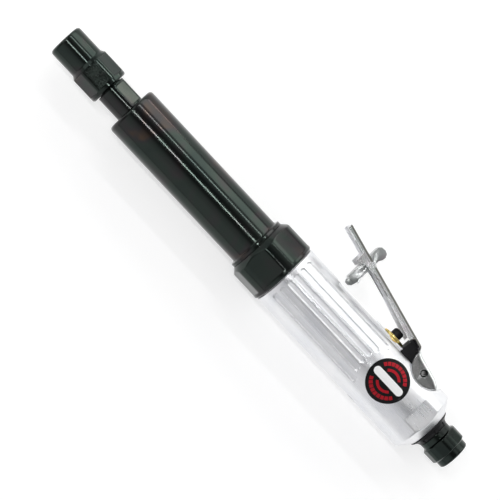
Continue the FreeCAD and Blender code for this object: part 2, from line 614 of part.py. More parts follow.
def make_lever():
    web = "1.3"
    ear_front = "ear_station - ear_radius"
    points = [
        ("165", lever_top("165")), ("233.6", lever_top("233.6")), ("235", "22.9"), ("238", "21.7"),
        ("249.8", "18.9"), ("254.2", "16.4"),
    ]
    for degrees in (-42, -55, -70, -90, -110, -130, -150, -168):
        angle = math.radians(degrees)
        points.append(("ear_station + ear_radius * %.4f" % math.cos(angle),
                       "ear_height + ear_radius * %.4f" % math.sin(angle)))
    points += [
        (ear_front + " - 0.3", "23.1"), ("227.6", lever_top("227.6") + " - " + web), ("227.2", "19.9"),
        ("214.8", "24.5"), ("202.3", "29.6"), ("191.6", "32.2"), ("183.4", "32.2"), ("182.4", "30"),
        ("179.6", "30.4"), ("179.4", lever_top("179.4") + " - 2.6"), ("165.4", lever_top("165.4") + " - 2.6"),
    ]
    outside = plate("lever_outside", "lever_half", points)
    under = [
        ("160", lever_top("160") + " - " + web), ("233", lever_top("233") + " - " + web),
        ("234", "22.0"), ("237.6", "20.4"), ("249.5", "17.5"), ("260", "15"), ("260", "0"), ("160", "0"),
    ]
    inside = plate("lever_inside", "lever_half - sheet", under)
    window = block("catch_window", ("173", "192"), ("30", "45"), ("-catch_half - 0.4", "catch_half + 0.4"))
    bay = block("spring_bay", ("184", "191.8"), ("30", "45"), ("-lever_half + sheet", "lever_half - sheet"))
    hole = rod("lever_pivot_hole", "pivot_radius + 0.07", "-20", "20", "Z", "pivot_station", "pivot_height")
    pin_hole = rod("catch_pin_hole", "catch_pin_radius", "-20", "20", "Z", "catch_station", "catch_height")
    keep(cut("lever_cut", outside, [inside, window, bay, hole, pin_hole]), "throttle_lever")
    tube = rod("pivot_outside", "pivot_radius", "-8.6", "8.6", "Z", "pivot_station", "pivot_height")
    tools = [
        rod("pivot_hollow_cut", "pivot_hollow", "-10", "10", "Z", "pivot_station", "pivot_height"),
        block("pivot_slit", ("pivot_station", "pivot_station + 3"),
              ("pivot_height - 0.3", "pivot_height + 0.3"), (-10, 10)),
    ]
    keep(cut("pivot_cut", tube, tools), "lever_pivot_pin")
    cushion = plate("cushion_body", "lever_half - sheet - 0.4", [
        ("227.8", "15.5"), ("228.4", lever_top("228.4") + " - 1.6"), ("232.6", lever_top("232.6") + " - 1.6"),
        ("233.5", "21.9"), ("237", "20"), ("238", "15.5"),
    ])
    saddle = common("cushion_saddle", rod("saddle_round", "handle_radius + 0.05", "225", "240"),
                    block("saddle_width", ("225", "240"), (0, 20), ("-ridge_half - 0.05", "ridge_half + 0.05")))
    keep(cut("cushion_cut", cushion, [saddle]), "lever_cushion")


def make_catch():
    outside = plate("catch_outside", "catch_half", [
        ("182.9", "43.6"), ("184.2", "44.9"), ("186.4", "45"), ("188.2", "44.2"), ("189.1", "42.4"),
        ("188.9", "40.6"), ("187.9", "38.8"), ("187.9", "26"), ("188.2", "24.2"), ("187.2", "20.4"),
        ("186.8", "foot_height"), ("184.7", "foot_height"), ("184", "foot_height + 1"),
        ("183.6", "foot_height + 2.6"), ("182.9", "foot_height + 2.6"),
    ])
    inside = block("catch_inside", ("182.9 + catch_sheet", "192"), ("10", "50"),
                   ("-catch_half + catch_sheet", "catch_half - catch_sheet"))
    hole = rod("catch_hole", "catch_pin_radius + 0.07", "-20", "20", "Z", "catch_station", "catch_height")
    keep(cut("catch_cut", outside, [inside, hole]), "safety_catch")
    shank = rod("catch_pin_shank", "catch_pin_radius", "-9.3", "9.3", "Z", "catch_station", "catch_height")
    heads = [
        rod("catch_pin_head%d" % index, "2", low, high, "Z", "catch_station", "catch_height")
        for index, (low, high) in enumerate((("-9.6", "-lever_half"), ("lever_half", "9.6")))
    ]
    keep(fuse("catch_pin_fuse", [shank] + heads), "catch_pin")
    wire = 0.3
    pitch = 0.7
    centre = V(size("catch_station"), size("catch_height"), 5.5)
    turns = coil(pitch, 2 * pitch, 2.0, wire)
    turns.translate(centre)
    long_leg = Part.makeCylinder(wire, 10.6, centre + V(-1.6, -1.2, 0), V(3.1, -9.6, 0))
    short_leg = Part.makeCylinder(wire, 7.4, centre + V(0.4, -1.9, 2 * pitch), V(1, -0.24, 0))
    keep(fixed_shape("catch_coil", Part.makeCompound([turns, long_leg, short_leg])), "catch_spring")


# ---------------------------------------------------------------- inlet and exhaust
def make_inlet():
    body = turned("inlet_body", [
        ("252.5", "4"), ("252.5", "inlet_thread"), ("263.3", "inlet_thread"), ("263.3", "inlet_thread - 1.05"),
        ("264.7", "inlet_thread - 1.05"), ("264.7", "inlet_thread"), ("handle_end", "inlet_thread"),
        ("handle_end", "barrel_radius"), ("267.9", "barrel_radius"), ("267.9", "barrel_radius - 0.85"),
        ("268.9", "barrel_radius - 0.85"), ("268.9", "barrel_radius"), ("deflector_end + 0.2", "barrel_radius"),
        ("deflector_end + 0.2", "inlet_collar"), ("inlet_hex", "inlet_collar"), ("inlet_hex", "inlet_radius - 0.9"),
        ("inlet_hex + 0.8", "inlet_radius"), ("inlet_hex_end - 0.8", "inlet_radius"),
        ("inlet_hex_end", "inlet_radius - 0.9"), ("inlet_hex_end", "inlet_nose"), ("inlet_end", "inlet_nose"),
        ("inlet_end", "inlet_bore"), ("relief_start", "inlet_bore"), ("relief_start", "relief_radius"),
        ("relief_end", "relief_radius"), ("relief_end", "4"),
    ])
    round_edges(body, "1.4", rim("inlet_end", "inlet_nose"))
    flats = hexagon_cutter("inlet_flats_cut", "inlet_flats", "inlet_radius", "inlet_hex",
                           "inlet_hex_end + 1.2", "inlet_turn")
    keep(cut("inlet_cut", body, [flats]), "inlet_bushing")
    mesh = rod("strainer_disc", "relief_radius - 0.02", "relief_end", "relief_end + 0.6")
    holes = []
    for across in range(-4, 5):
        for up in range(-4, 5):
            if across * across + up * up <= 19:
                holes.append(Part.makeCylinder(0.38, 3, V(272, across, up), X_AXIS))
    keep(cut("strainer_cut", mesh, [fixed_shape("strainer_holes", Part.makeCompound(holes))]), "inlet_strainer")
    keep(donut("inlet_ring", "inlet_thread - 0.52", "0.5", "264"), "inlet_o_ring")
    keep(donut("deflector_ring", "barrel_radius - 0.4", "0.42", "268.4"), "deflector_o_ring")
    keep(ring("felt_ring", "10.9", "7.7", "262.4", "266.3"), "silencer_felt")
    cap = turned("deflector_body", [
        ("handle_end + 0.2", "10.9"), ("handle_end + 0.2", "deflector_radius"), ("267", "deflector_radius"),
        ("267.5", "11.1"), ("268", "10.2"), ("268.6", "9.5"), ("269.4", "8.95"), ("deflector_end", "8.7"),
        ("deflector_end", "barrel_radius + 0.08"), ("handle_end + 0.2", "barrel_radius + 0.08"),
        ("handle_end + 0.2", "7.9"), ("267.2", "7.9"), ("267.2", "10.9"),
    ])
    vents = []
    for index in range(8):
        vent = Part.makeCylinder(0.7, 5, V(266.9, 9.1, 0), X_AXIS)
        vent.rotate(V(0, 0, 0), X_AXIS, 45 * index)
        vents.append(vent)
    keep(cut("deflector_cut", cap, [fixed_shape("vents", Part.makeCompound(vents))]), "exhaust_deflector")


make_collet()
make_collet_nut()
make_spindle()
make_extension()
make_clamp_nut()
make_motor()
make_handle()
make_valve()
make_regulator()
make_lever()
make_catch()
make_inlet()
doc.recompute()

for item in doc.Objects:
    if "Invalid" in item.State or "Error" in item.State:
        raise RuntimeError("%s did not compute: %s" % (item.Label, item.State))
for item in subparts:
    if item.Shape.isNull() or not item.Shape.isValid():
        raise RuntimeError("%s has no valid shape" % item.Label)

os.makedirs("parts", exist_ok=True)
for item in subparts:
    item.Shape.exportStep("parts/%s.step" % item.Label)
    print("%-34s solids %2d  volume %9.2f" % (item.Label, len(item.Shape.Solids), item.Shape.Volume))
print(len(subparts), "sub-parts")
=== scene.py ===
"""Studio picture of an air die grinder with an extended front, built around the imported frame.

Bench coordinates, in millimetres, are used for every outline: station runs back from the collet mouth,
height runs towards the throttle lever and width towards the badge. In the frame, which is in metres,
the collet points to +X, the lever to -Y and the badge to +Z.
"""

import json
import math

import bmesh
import bpy
import numpy as np
from mathutils import Matrix, Vector


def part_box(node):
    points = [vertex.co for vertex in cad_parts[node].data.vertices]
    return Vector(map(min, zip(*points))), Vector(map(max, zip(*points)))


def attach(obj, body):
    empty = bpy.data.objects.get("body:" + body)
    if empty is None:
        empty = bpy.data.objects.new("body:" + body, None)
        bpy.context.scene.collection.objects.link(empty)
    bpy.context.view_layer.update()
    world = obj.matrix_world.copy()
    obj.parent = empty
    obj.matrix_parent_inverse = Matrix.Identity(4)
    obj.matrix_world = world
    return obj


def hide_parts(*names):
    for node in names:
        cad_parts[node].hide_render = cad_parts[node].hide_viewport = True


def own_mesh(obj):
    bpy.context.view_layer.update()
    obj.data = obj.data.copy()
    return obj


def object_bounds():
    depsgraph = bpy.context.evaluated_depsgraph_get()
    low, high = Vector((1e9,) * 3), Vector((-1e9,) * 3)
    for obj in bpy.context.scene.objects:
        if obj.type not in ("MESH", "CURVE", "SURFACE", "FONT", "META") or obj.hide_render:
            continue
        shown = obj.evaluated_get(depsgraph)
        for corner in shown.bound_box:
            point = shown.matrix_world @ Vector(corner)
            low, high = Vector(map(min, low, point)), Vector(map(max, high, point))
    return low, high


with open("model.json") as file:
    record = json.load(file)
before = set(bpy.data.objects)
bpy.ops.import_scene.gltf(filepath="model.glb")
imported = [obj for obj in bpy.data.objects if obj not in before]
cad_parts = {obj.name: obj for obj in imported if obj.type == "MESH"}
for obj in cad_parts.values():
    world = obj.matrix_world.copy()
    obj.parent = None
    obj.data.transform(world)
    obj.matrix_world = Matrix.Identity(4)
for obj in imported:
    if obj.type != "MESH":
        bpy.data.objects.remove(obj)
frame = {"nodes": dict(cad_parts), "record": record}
cad_low, cad_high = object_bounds()

MM = 0.001
NODES = frame["nodes"]


def stations(node):
    """First and last station of a CAD node, in millimetres."""
    low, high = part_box(node)
    return -high.x / MM, -low.x / MM


# ---------------------------------------------------------------- materials
class Nodes:
    """A node tree with short ways to add and link its nodes."""

    def __init__(self, tree):
        self.tree = tree

    def node(self, kind, settings=None, **inputs):
        made = self.tree.nodes.new(kind)
        for label, value in (settings or {}).items():
            setattr(made, label, value)
        for label, value in inputs.items():
            self.feed(made.inputs[label.replace("_", " ")], value)
        return made

    def feed(self, socket, value):
        if isinstance(value, bpy.types.NodeSocket):
            self.tree.links.new(value, socket)
        else:
            socket.default_value = value

    def math(self, operation, first, second=0.0):
        made = self.node("ShaderNodeMath", {"operation": operation})
        self.feed(made.inputs[0], first)
        self.feed(made.inputs[1], second)
        return made.outputs[0]

    def spread(self, value, low, high, start=0.0, end=1.0):
        """Maps a value from low..high to start..end, and clamps it."""
        made = self.tree.nodes.new("ShaderNodeMapRange")
        for label, number in (("From Min", low), ("From Max", high), ("To Min", start), ("To Max", end)):
            made.inputs[label].default_value = number
        self.feed(made.inputs["Value"], value)
        return made.outputs["Result"]

    def ramp(self, value, stops):
        made = self.tree.nodes.new("ShaderNodeValToRGB")
        while len(made.color_ramp.elements) < len(stops):
            made.color_ramp.elements.new(0.5)
        for element, (at, colour) in zip(made.color_ramp.elements, stops):
            element.position = at
            element.color = (*colour, 1.0)
        self.feed(made.inputs["Fac"], value)
        return made.outputs["Color"]

    def mix(self, share, first, second):
        made = self.tree.nodes.new("ShaderNodeMix")
        made.data_type = "RGBA"
        self.feed(made.inputs["Factor"], share)
        self.feed(made.inputs["A"], first)
        self.feed(made.inputs["B"], second)
        return made.outputs["Result"]


class Paint(Nodes):
    """A material that is built node by node round one Principled shader."""

    def __init__(self, name, **sockets):
        self.material = bpy.data.materials.new(name)
        self.material.use_nodes = True
        super().__init__(self.material.node_tree)
        self.shader = self.tree.nodes["Principled BSDF"]
        for label, value in sockets.items():
            self.shader.inputs[label.replace("_", " ")].default_value = value
        self.place = self.node("ShaderNodeTexCoord").outputs["Object"]

    def stretched(self, scale):
        """The object's own coordinates, scaled apart along each axis."""
        return self.node("ShaderNodeMapping", Vector=self.place, Scale=scale).outputs["Vector"]

    def noise(self, scale, detail=3.0, roughness=0.55, vector=None, distortion=0.0):
        return self.node("ShaderNodeTexNoise", Vector=vector or self.place, Scale=scale, Detail=detail,
                         Roughness=roughness, Distortion=distortion).outputs["Fac"]

    def bump(self, height, distance, strength=1.0, under=None):
        made = self.node("ShaderNodeBump", Height=height, Distance=distance, Strength=strength)
        if under is not None:
            self.tree.links.new(under, made.inputs["Normal"])
        return made.outputs["Normal"]

    def set(self, label, value):
        self.feed(self.shader.inputs[label], value)


def black_oxide():
    """Steel with a glossy black-oxide skin: faint turning marks, and bluing colours that drift with place."""
    paint = Paint("black_oxide_steel", Metallic=1.0)
    drift = paint.noise(45.0, 2.0, distortion=0.6)
    skin = paint.ramp(drift, [
        (0.32, (0.028, 0.037, 0.034)), (0.50, (0.034, 0.043, 0.038)), (0.62, (0.041, 0.039, 0.040)),
        (0.74, (0.066, 0.048, 0.036)),
    ])
    worn = paint.spread(paint.node("ShaderNodeNewGeometry").outputs["Pointiness"], 0.56, 0.66)
    scuffs = paint.spread(paint.noise(900.0, 4.0), 0.5, 0.72)
    wear = paint.math("MULTIPLY", paint.math("MULTIPLY", worn, scuffs), 0.25)
    paint.set("Base Color", paint.mix(wear, skin, (0.30, 0.30, 0.29, 1.0)))
    grain = paint.noise(2600.0, 2.0)
    cloud = paint.noise(120.0, 3.0)
    paint.set("Roughness", paint.math("ADD", paint.spread(cloud, 0.3, 0.7, 0.07, 0.13),
                                      paint.spread(grain, 0.3, 0.7, 0.0, 0.04)))
    marks = paint.noise(1.0, 2.0, vector=paint.stretched((5200.0, 60.0, 60.0)))
    paint.set("Normal", paint.bump(marks, 0.0000012, 0.5))
    return paint.material


def cast_aluminium():
    """A polished casting: bright lands with fine lengthways polishing lines, and grainy flute floors."""
    paint = Paint("cast_aluminium", Metallic=1.0)
    depth = paint.node("ShaderNodeAttribute", {"attribute_name": "cast_depth"}).outputs["Fac"]
    cloud = paint.noise(70.0, 4.0, distortion=0.4)
    tone = paint.ramp(cloud, [
        (0.32, (0.77, 0.78, 0.81)), (0.52, (0.83, 0.835, 0.85)), (0.7, (0.87, 0.87, 0.88)),
    ])
    pits = paint.spread(paint.noise(2300.0, 3.0, 0.7), 0.60, 0.72)
    in_flute = paint.math("MULTIPLY", pits, depth)
    paint.set("Base Color", paint.mix(paint.math("MULTIPLY", in_flute, 0.5), tone, (0.50, 0.51, 0.54, 1.0)))
    lines = paint.noise(1.0, 3.0, vector=paint.stretched((90.0, 3800.0, 3800.0)))
    land = paint.math("ADD", paint.spread(lines, 0.3, 0.7, 0.22, 0.33),
                      paint.spread(cloud, 0.3, 0.7, 0.0, 0.06))
    paint.set("Roughness", paint.math("ADD", land, paint.math("MULTIPLY", depth, 0.14)))
    grain = paint.noise(1500.0, 4.0, 0.65)
    polished = paint.bump(lines, 0.000003, 0.5)
    strength = paint.math("ADD", paint.math("MULTIPLY", depth, 0.75), 0.12)
    paint.set("Normal", paint.bump(grain, 0.00009, strength, polished))
    return paint.material


def bright_plate(name, rough, shade=1.0):
    """Zinc-plated sheet steel: soft rolling streaks, a faint warm and cool drift, painted shade where a mesh
    marks it, and an inner side that is rougher and lightened by painted light.
    """
    paint = Paint(name, Metallic=1.0)
    drift = paint.noise(90.0, 3.0, distortion=0.8)
    tone = paint.ramp(drift, [(at, tuple(part * shade for part in colour)) for at, colour in (
        (0.30, (0.60, 0.64, 0.62)), (0.50, (0.69, 0.71, 0.71)), (0.66, (0.72, 0.69, 0.71)),
    )])
    # Painted shade: the first attribute below marks where the lever's base colour is pulled towards near
    # black, along its bends, part of a wall's cut edge, its ears and its tab.
    edge = paint.node("ShaderNodeAttribute", {"attribute_name": "painted_shade"}).outputs["Fac"]
    inner = paint.node("ShaderNodeAttribute", {"attribute_name": "inner_side"}).outputs["Fac"]
    # Painted light: the inside of the sheet is lightened to near white, and it is also made rougher below.
    tone = paint.mix(inner, tone, (0.90, 0.90, 0.92, 1.0))
    paint.set("Base Color", paint.mix(paint.spread(edge, 0.2, 0.8), tone, (0.10, 0.10, 0.09, 1.0)))
    streaks = paint.noise(1.0, 3.0, vector=paint.stretched((70.0, 2600.0, 2600.0)))
    gloss = paint.math("ADD", paint.spread(streaks, 0.3, 0.7, rough, rough + 0.10),
                       paint.spread(drift, 0.3, 0.7, 0.0, 0.05))
    paint.set("Roughness", paint.math("ADD", gloss, paint.math("MULTIPLY", inner, 0.35)))
    paint.set("Normal", paint.bump(streaks, 0.000004, 0.5))
    return paint.material


def turned_brass():
    paint = Paint("turned_brass", Metallic=1.0)
    drift = paint.noise(400.0, 3.0)
    paint.set("Base Color", paint.ramp(drift, [
        (0.30, (0.72, 0.50, 0.12)), (0.50, (0.90, 0.70, 0.24)), (0.68, (0.95, 0.80, 0.38)),
    ]))
    rings = paint.noise(1.0, 2.0, vector=paint.stretched((60.0, 7000.0, 60.0)))
    paint.set("Roughness", paint.spread(rings, 0.3, 0.7, 0.12, 0.24))
    paint.set("Normal", paint.bump(rings, 0.000005, 0.6))
    return paint.material


def moulded(name, colour, rough, grain, depth):
    """A moulded black surface: an even colour with a fine grain that also varies the gloss."""
    paint = Paint(name, IOR=1.5, Specular_IOR_Level=0.14)
    speck = paint.noise(grain, 4.0, 0.6)
    lighter = tuple(min(1.0, part * 1.7 + 0.004) for part in colour)
    paint.set("Base Color", paint.ramp(speck, [(0.35, colour), (0.7, lighter)]))
    paint.set("Roughness", paint.spread(speck, 0.3, 0.7, rough - 0.07, rough + 0.07))
    paint.set("Normal", paint.bump(speck, depth, 0.6))
    return paint.material


def ground_steel(name, dark, light, rough):
    """Bare machined metal for the working parts inside."""
    paint = Paint(name, Metallic=1.0)
    drift = paint.noise(300.0, 3.0)
    paint.set("Base Color", paint.ramp(drift, [(0.35, dark), (0.65, light)]))
    marks = paint.noise(1.0, 2.0, vector=paint.stretched((4200.0, 80.0, 80.0)))
    paint.set("Roughness", paint.spread(marks, 0.3, 0.7, rough - 0.06, rough + 0.08))
    paint.set("Normal", paint.bump(marks, 0.000004, 0.6))
    return paint.material


def printed(name, colour, shade):
    """Ink under a thin clear film, with a faint print grain."""
    paint = Paint(name, IOR=1.5, Specular_IOR_Level=0.12, Roughness=0.45,
                  Coat_Weight=0.12, Coat_Roughness=0.08)
    grain = paint.noise(3000.0, 3.0)
    paint.set("Base Color", paint.ramp(grain, [(0.35, shade), (0.65, colour)]))
    return paint.material


def felt():
    paint = Paint("pressed_felt", Roughness=0.95, Sheen_Weight=0.3)
    fibre = paint.noise(2600.0, 5.0, 0.7, distortion=1.5)
    paint.set("Base Color", paint.ramp(fibre, [(0.35, (0.36, 0.34, 0.30)), (0.65, (0.62, 0.60, 0.55))]))
    paint.set("Normal", paint.bump(fibre, 0.00008, 0.8))
    return paint.material


OXIDE = black_oxide()
ALUMINIUM = cast_aluminium()
PLATE = bright_plate("bright_zinc_plate", 0.10)
# The safety catch's plate: the lever's zinc plate with every colour scaled to 0.56 and a rougher finish.
DARKER_PLATE = bright_plate("darker_zinc_plate", 0.24, 0.56)
BRASS = turned_brass()
PLASTIC = moulded("black_nylon", (0.012, 0.012, 0.013), 0.32, 1800.0, 0.00001)
RUBBER = moulded("black_rubber", (0.007, 0.007, 0.008), 0.62, 1400.0, 0.00005)
PHENOLIC = moulded("phenolic_laminate", (0.16, 0.075, 0.03), 0.5, 900.0, 0.00001)
STEEL = ground_steel("bearing_steel", (0.50, 0.51, 0.52), (0.66, 0.66, 0.67), 0.2)
IRON = ground_steel("ground_iron", (0.24, 0.24, 0.25), (0.36, 0.36, 0.36), 0.32)
BLACKED = ground_steel("blackened_pin_steel", (0.012, 0.016, 0.015), (0.03, 0.034, 0.032), 0.34)
FELT = felt()
INK_BLACK = printed("badge_black", (0.006, 0.006, 0.007), (0.003, 0.003, 0.003))
INK_RED = printed("badge_red", (0.46, 0.008, 0.02), (0.34, 0.005, 0.012))
INK_WHITE = printed("badge_white", (0.95, 0.95, 0.95), (0.90, 0.90, 0.90))
BY_SLOT = {
    "black_steel": OXIDE, "cast_aluminium": ALUMINIUM, "bright_plate": PLATE, "valve_brass": BRASS,
    "black_plastic": PLASTIC, "black_rubber": RUBBER, "felt": FELT, "badge_face": INK_BLACK,
    "phenolic": PHENOLIC, "iron": IRON, "bearing_steel": STEEL,
}
SLOT_OF = {part["node"]: part["material_slot"] for part in frame["record"]["subparts"]}
BODY_OF = {
    node: body for body, members in frame["record"]["behaviour"]["bodies"].items() for node in members
}
for node, item in NODES.items():
    item.data.materials.clear()
    item.data.materials.append(BY_SLOT[SLOT_OF[node]])


# ---------------------------------------------------------------- mesh helpers
def placed(name, data):
    """A new object in the scene."""
    item = bpy.data.objects.new(name, data)
    bpy.context.scene.collection.objects.link(item)
    return item


def piece(name, mesh, node, material=None, smooth=40.0):
    """A new piece that stands for a CAD node: same body, same slot."""
    item = placed(name, mesh)
    mesh.materials.append(material or BY_SLOT[SLOT_OF[node]])
    mesh.polygons.foreach_set("use_smooth", [True] * len(mesh.polygons))
    mesh.set_sharp_from_angle(angle=math.radians(smooth))
    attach(item, BODY_OF[node])
    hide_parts(node)
    return item


def tidy_mesh(mesh):
    """Points every face outwards and drops doubled points."""
    work = bmesh.new()
    work.from_mesh(mesh)
    bmesh.ops.remove_doubles(work, verts=work.verts, dist=1e-7)
    bmesh.ops.recalc_face_normals(work, faces=work.faces)
    work.to_mesh(mesh)
    work.free()


def rounded(corners, step):
    """An outline through (along, radius, fillet) corners, with fillets as arcs and straights cut to step."""
    points = []
    count = len(corners)
    for index, (along, radius, fillet) in enumerate(corners):
        here = Vector((along, radius))
        before = Vector(corners[index - 1][:2]) - here
        after = Vector(corners[(index + 1) % count][:2]) - here
        if fillet <= 0 or before.length < 1e-6 or after.length < 1e-6:
            points.append(here)
            continue
        half = before.angle(after) / 2
        reach = min(fillet / math.tan(half), 0.48 * before.length, 0.48 * after.length)
        size = reach * math.tan(half)
        middle = here + (before.normalized() + after.normalized()).normalized() * (size / math.sin(half))
        start = here + before.normalized() * reach - middle
        turn = math.pi - 2 * half
        if start.cross(here + after.normalized() * reach - middle) < 0:
            turn = -turn
        steps = max(3, math.ceil(abs(turn) / math.radians(15)))
        for k in range(steps + 1):
            points.append(middle + Matrix.Rotation(turn * k / steps, 2) @ start)
    outline = []
    for index, point in enumerate(points):
        ahead = points[(index + 1) % len(points)]
        pieces = max(1, math.ceil((ahead - point).length / step))
        outline += [point.lerp(ahead, k / pieces) for k in range(pieces)]
    return np.array([tuple(point) for point in outline])


def sparser(outline, behind, step):
    """Thins the points on an outline's straight runs behind a station, to one a step."""
    kept = [outline[0]]
    in_line = 0.00002
    for point, ahead in zip(outline[1:-1], outline[2:]):
        one, two = point - kept[-1], ahead - point
        straight = abs(one[0] * two[1] - one[1] * two[0]) < in_line
        if not (straight and point[0] > behind and np.hypot(*one) < step):
            kept.append(point)
    return np.array(kept + [outline[-1]])


def along_spindle(along, radius, angle):
    """Bench polar coordinates about the spindle. Angle 0 is the badge side, growing towards the lever."""
    return -along * MM, -radius * np.sin(angle) * MM, radius * np.cos(angle) * MM


def upright(station):
    """The same for a part that stands on the spindle, with its axis along the height."""
    def place(along, radius, angle):
        return -(station + radius * np.cos(angle)) * MM, -along * MM, radius * np.sin(angle) * MM
    return place


def skin(name, outline, segments=192, shape=None, place=along_spindle, values=None):
    """A closed turned skin. shape(along, radius, angle) may pull the radius in, as a flat or a flute does."""
    angle = np.linspace(0, math.tau, segments, endpoint=False)
    along = np.repeat(outline[:, :1], segments, 1)
    radius = np.repeat(outline[:, 1:], segments, 1)
    angle = np.repeat(angle[None, :], len(outline), 0)
    if shape:
        radius = shape(along, radius, angle)
    points = np.stack(place(along, radius, angle), -1).reshape(-1, 3)
    rings = len(outline)
    row, column = np.meshgrid(np.arange(rings), np.arange(segments), indexing="ij")
    right = (column + 1) % segments
    below = (row + 1) % rings
    quads = np.stack([row * segments + column, row * segments + right,
                      below * segments + right, below * segments + column], -1).reshape(-1, 4)
    mesh = bpy.data.meshes.new(name)
    mesh.from_pydata(points.tolist(), [], quads.tolist())
    if values is not None:
        layer = mesh.attributes.new(values[0], "FLOAT", "POINT")
        layer.data.foreach_set("value", values[1](along, radius, angle).astype(np.float32).ravel())
    tidy_mesh(mesh)
    return mesh


def soft_min(first, second, blend):
    """The smaller of two values, with a rounded edge where they meet."""
    gap = np.clip(0.5 + 0.5 * (second - first) / blend, 0, 1)
    return second * (1 - gap) + first * gap - blend * gap * (1 - gap)


def soft_max(first, second, blend):
    return -soft_min(-first, -second, blend)


def rise(value, edge, width):
    """0 below the edge and 1 above it, with a smooth step of that width."""
    share = np.clip((value - edge) / width + 0.5, 0, 1)
    return share * share * (3 - 2 * share)


def window(value, low, high, width=0.25):
    """1 between two edges and 0 beyond them, with smooth steps of that width."""
    return rise(value, low, width) * (1 - rise(value, high, width))


def hexagon(flats, turn, start, end, blend=0.35, sides=6):
    """Flats milled on a turned part between two stations, which round their edges."""
    def shape(along, radius, angle):
        step = math.tau / sides
        local = (angle - math.radians(turn) + step / 2) % step - step / 2
        limit = flats / 2 / np.maximum(np.cos(local), 0.2)
        milled = soft_min(radius, limit, blend)
        length = window(along, start, end, 0.3)
        return radius + (milled - radius) * length * (radius > flats / 2 * 0.93)
    return shape


def upright_cutter(name, station, radius, low, high):
    outline = np.array([(low, 0.0), (low, radius), (high, radius), (high, 0.0)])
    return placed(name, skin(name, outline, 64, place=upright(station)))


def pin_cutter(name, station, height, radius):
    reach = 12.0
    outline = np.array([(-reach, 0.0), (-reach, radius), (reach, radius), (reach, 0.0)])

    def place(along, around, angle):
        return (-(station + around * np.cos(angle)) * MM, -(height + around * np.sin(angle)) * MM, along * MM)
    return placed(name, skin(name, outline, 48, place=place))


def box_cutter(name, stations, heights, widths):
    work = bmesh.new()
    size = [stations[1] - stations[0], heights[1] - heights[0], widths[1] - widths[0]]
    middle = [-sum(stations) / 2, -sum(heights) / 2, sum(widths) / 2]
    place = Matrix.Translation(Vector(middle) * MM) @ Matrix.Diagonal((*[side * MM for side in size], 1))
    bmesh.ops.create_cube(work, size=1, matrix=place)
    bmesh.ops.bevel(work, geom=work.edges, offset=0.35 * MM, segments=2, affect="EDGES", profile=0.5)
    mesh = bpy.data.meshes.new(name)
    work.to_mesh(mesh)
    work.free()
    return placed(name, mesh)


def finish_mesh(item, smooth):
    """Bakes an object's modifiers into its mesh."""
    depsgraph = bpy.context.evaluated_depsgraph_get()
    finished = bpy.data.meshes.new_from_object(item.evaluated_get(depsgraph))
    item.modifiers.clear()
    item.data = finished
    finished.polygons.foreach_set("use_smooth", [True] * len(finished.polygons))
    finished.set_sharp_from_angle(angle=math.radians(smooth))


def even_normals(item):
    """Lets the large faces set the shading, so that flats stay flat beside their rounds."""
    weighted = item.modifiers.new("even_normals", "WEIGHTED_NORMAL")
    weighted.weight = 100
    weighted.keep_sharp = True


def drill(item, tools, smooth):
    """Cuts the tools out of a piece and clears them away."""
    for tool in tools:
        cut = item.modifiers.new(tool.name, "BOOLEAN")
        cut.operation = "DIFFERENCE"
        cut.solver = "EXACT"
        cut.object = tool
    finish_mesh(item, smooth)
    for tool in tools:
        bpy.data.objects.remove(tool)


def dressed(node, width, segments=2):
    """The CAD shape with its corners rounded. Facets are merged first, so that edges get a clean round."""
    corner, smooth = 28.0, 35.0
    work = bmesh.new()
    work.from_mesh(NODES[node].data)
    bmesh.ops.remove_doubles(work, verts=work.verts, dist=2e-6)
    bmesh.ops.dissolve_limit(work, angle_limit=math.radians(1.0), verts=work.verts, edges=work.edges)
    weights = work.edges.layers.float.new("bevel_weight_edge")
    for edge in work.edges:
        if len(edge.link_faces) == 2 and edge.calc_face_angle(0.0) > math.radians(corner):
            edge[weights] = 1.0
    mesh = bpy.data.meshes.new(node + "_dressed")
    work.to_mesh(mesh)
    work.free()
    item = piece(node + "_dressed", mesh, node, smooth=smooth)
    bevel = item.modifiers.new("rounds", "BEVEL")
    bevel.limit_method = "WEIGHT"
    bevel.width = width * MM
    bevel.segments = segments
    bevel.miter_outer = "MITER_ARC"
    bevel.loop_slide = True
    even_normals(item)
    finish_mesh(item, smooth)
    return item


# ---------------------------------------------------------------- black steel front
def make_collet_nut():
    mouth, thread, nose, root = 4.15, 7.3, 9.45, 10.75
    nose_end, hex_start, end, flats = 16.2, 18.1, 33.1, 19.0
    outline = rounded([
        (0, mouth, 0.3), (0, nose, 1.7), (nose_end, nose, 1.2), (hex_start, root, 0.25),
        (end - 0.8, root, 0.2), (end, root - 0.8, 0.2), (end, thread, 0.15), (5.3, thread, 0), (5.3, 7.05, 0),
        (0.9, mouth, 0.1),
    ], 0.2)
    mesh = skin("collet_nut_skin", outline, shape=hexagon(flats, -4.4, hex_start + 0.4, end - 2.7))
    piece("collet_nut_skin", mesh, "collet_nut")


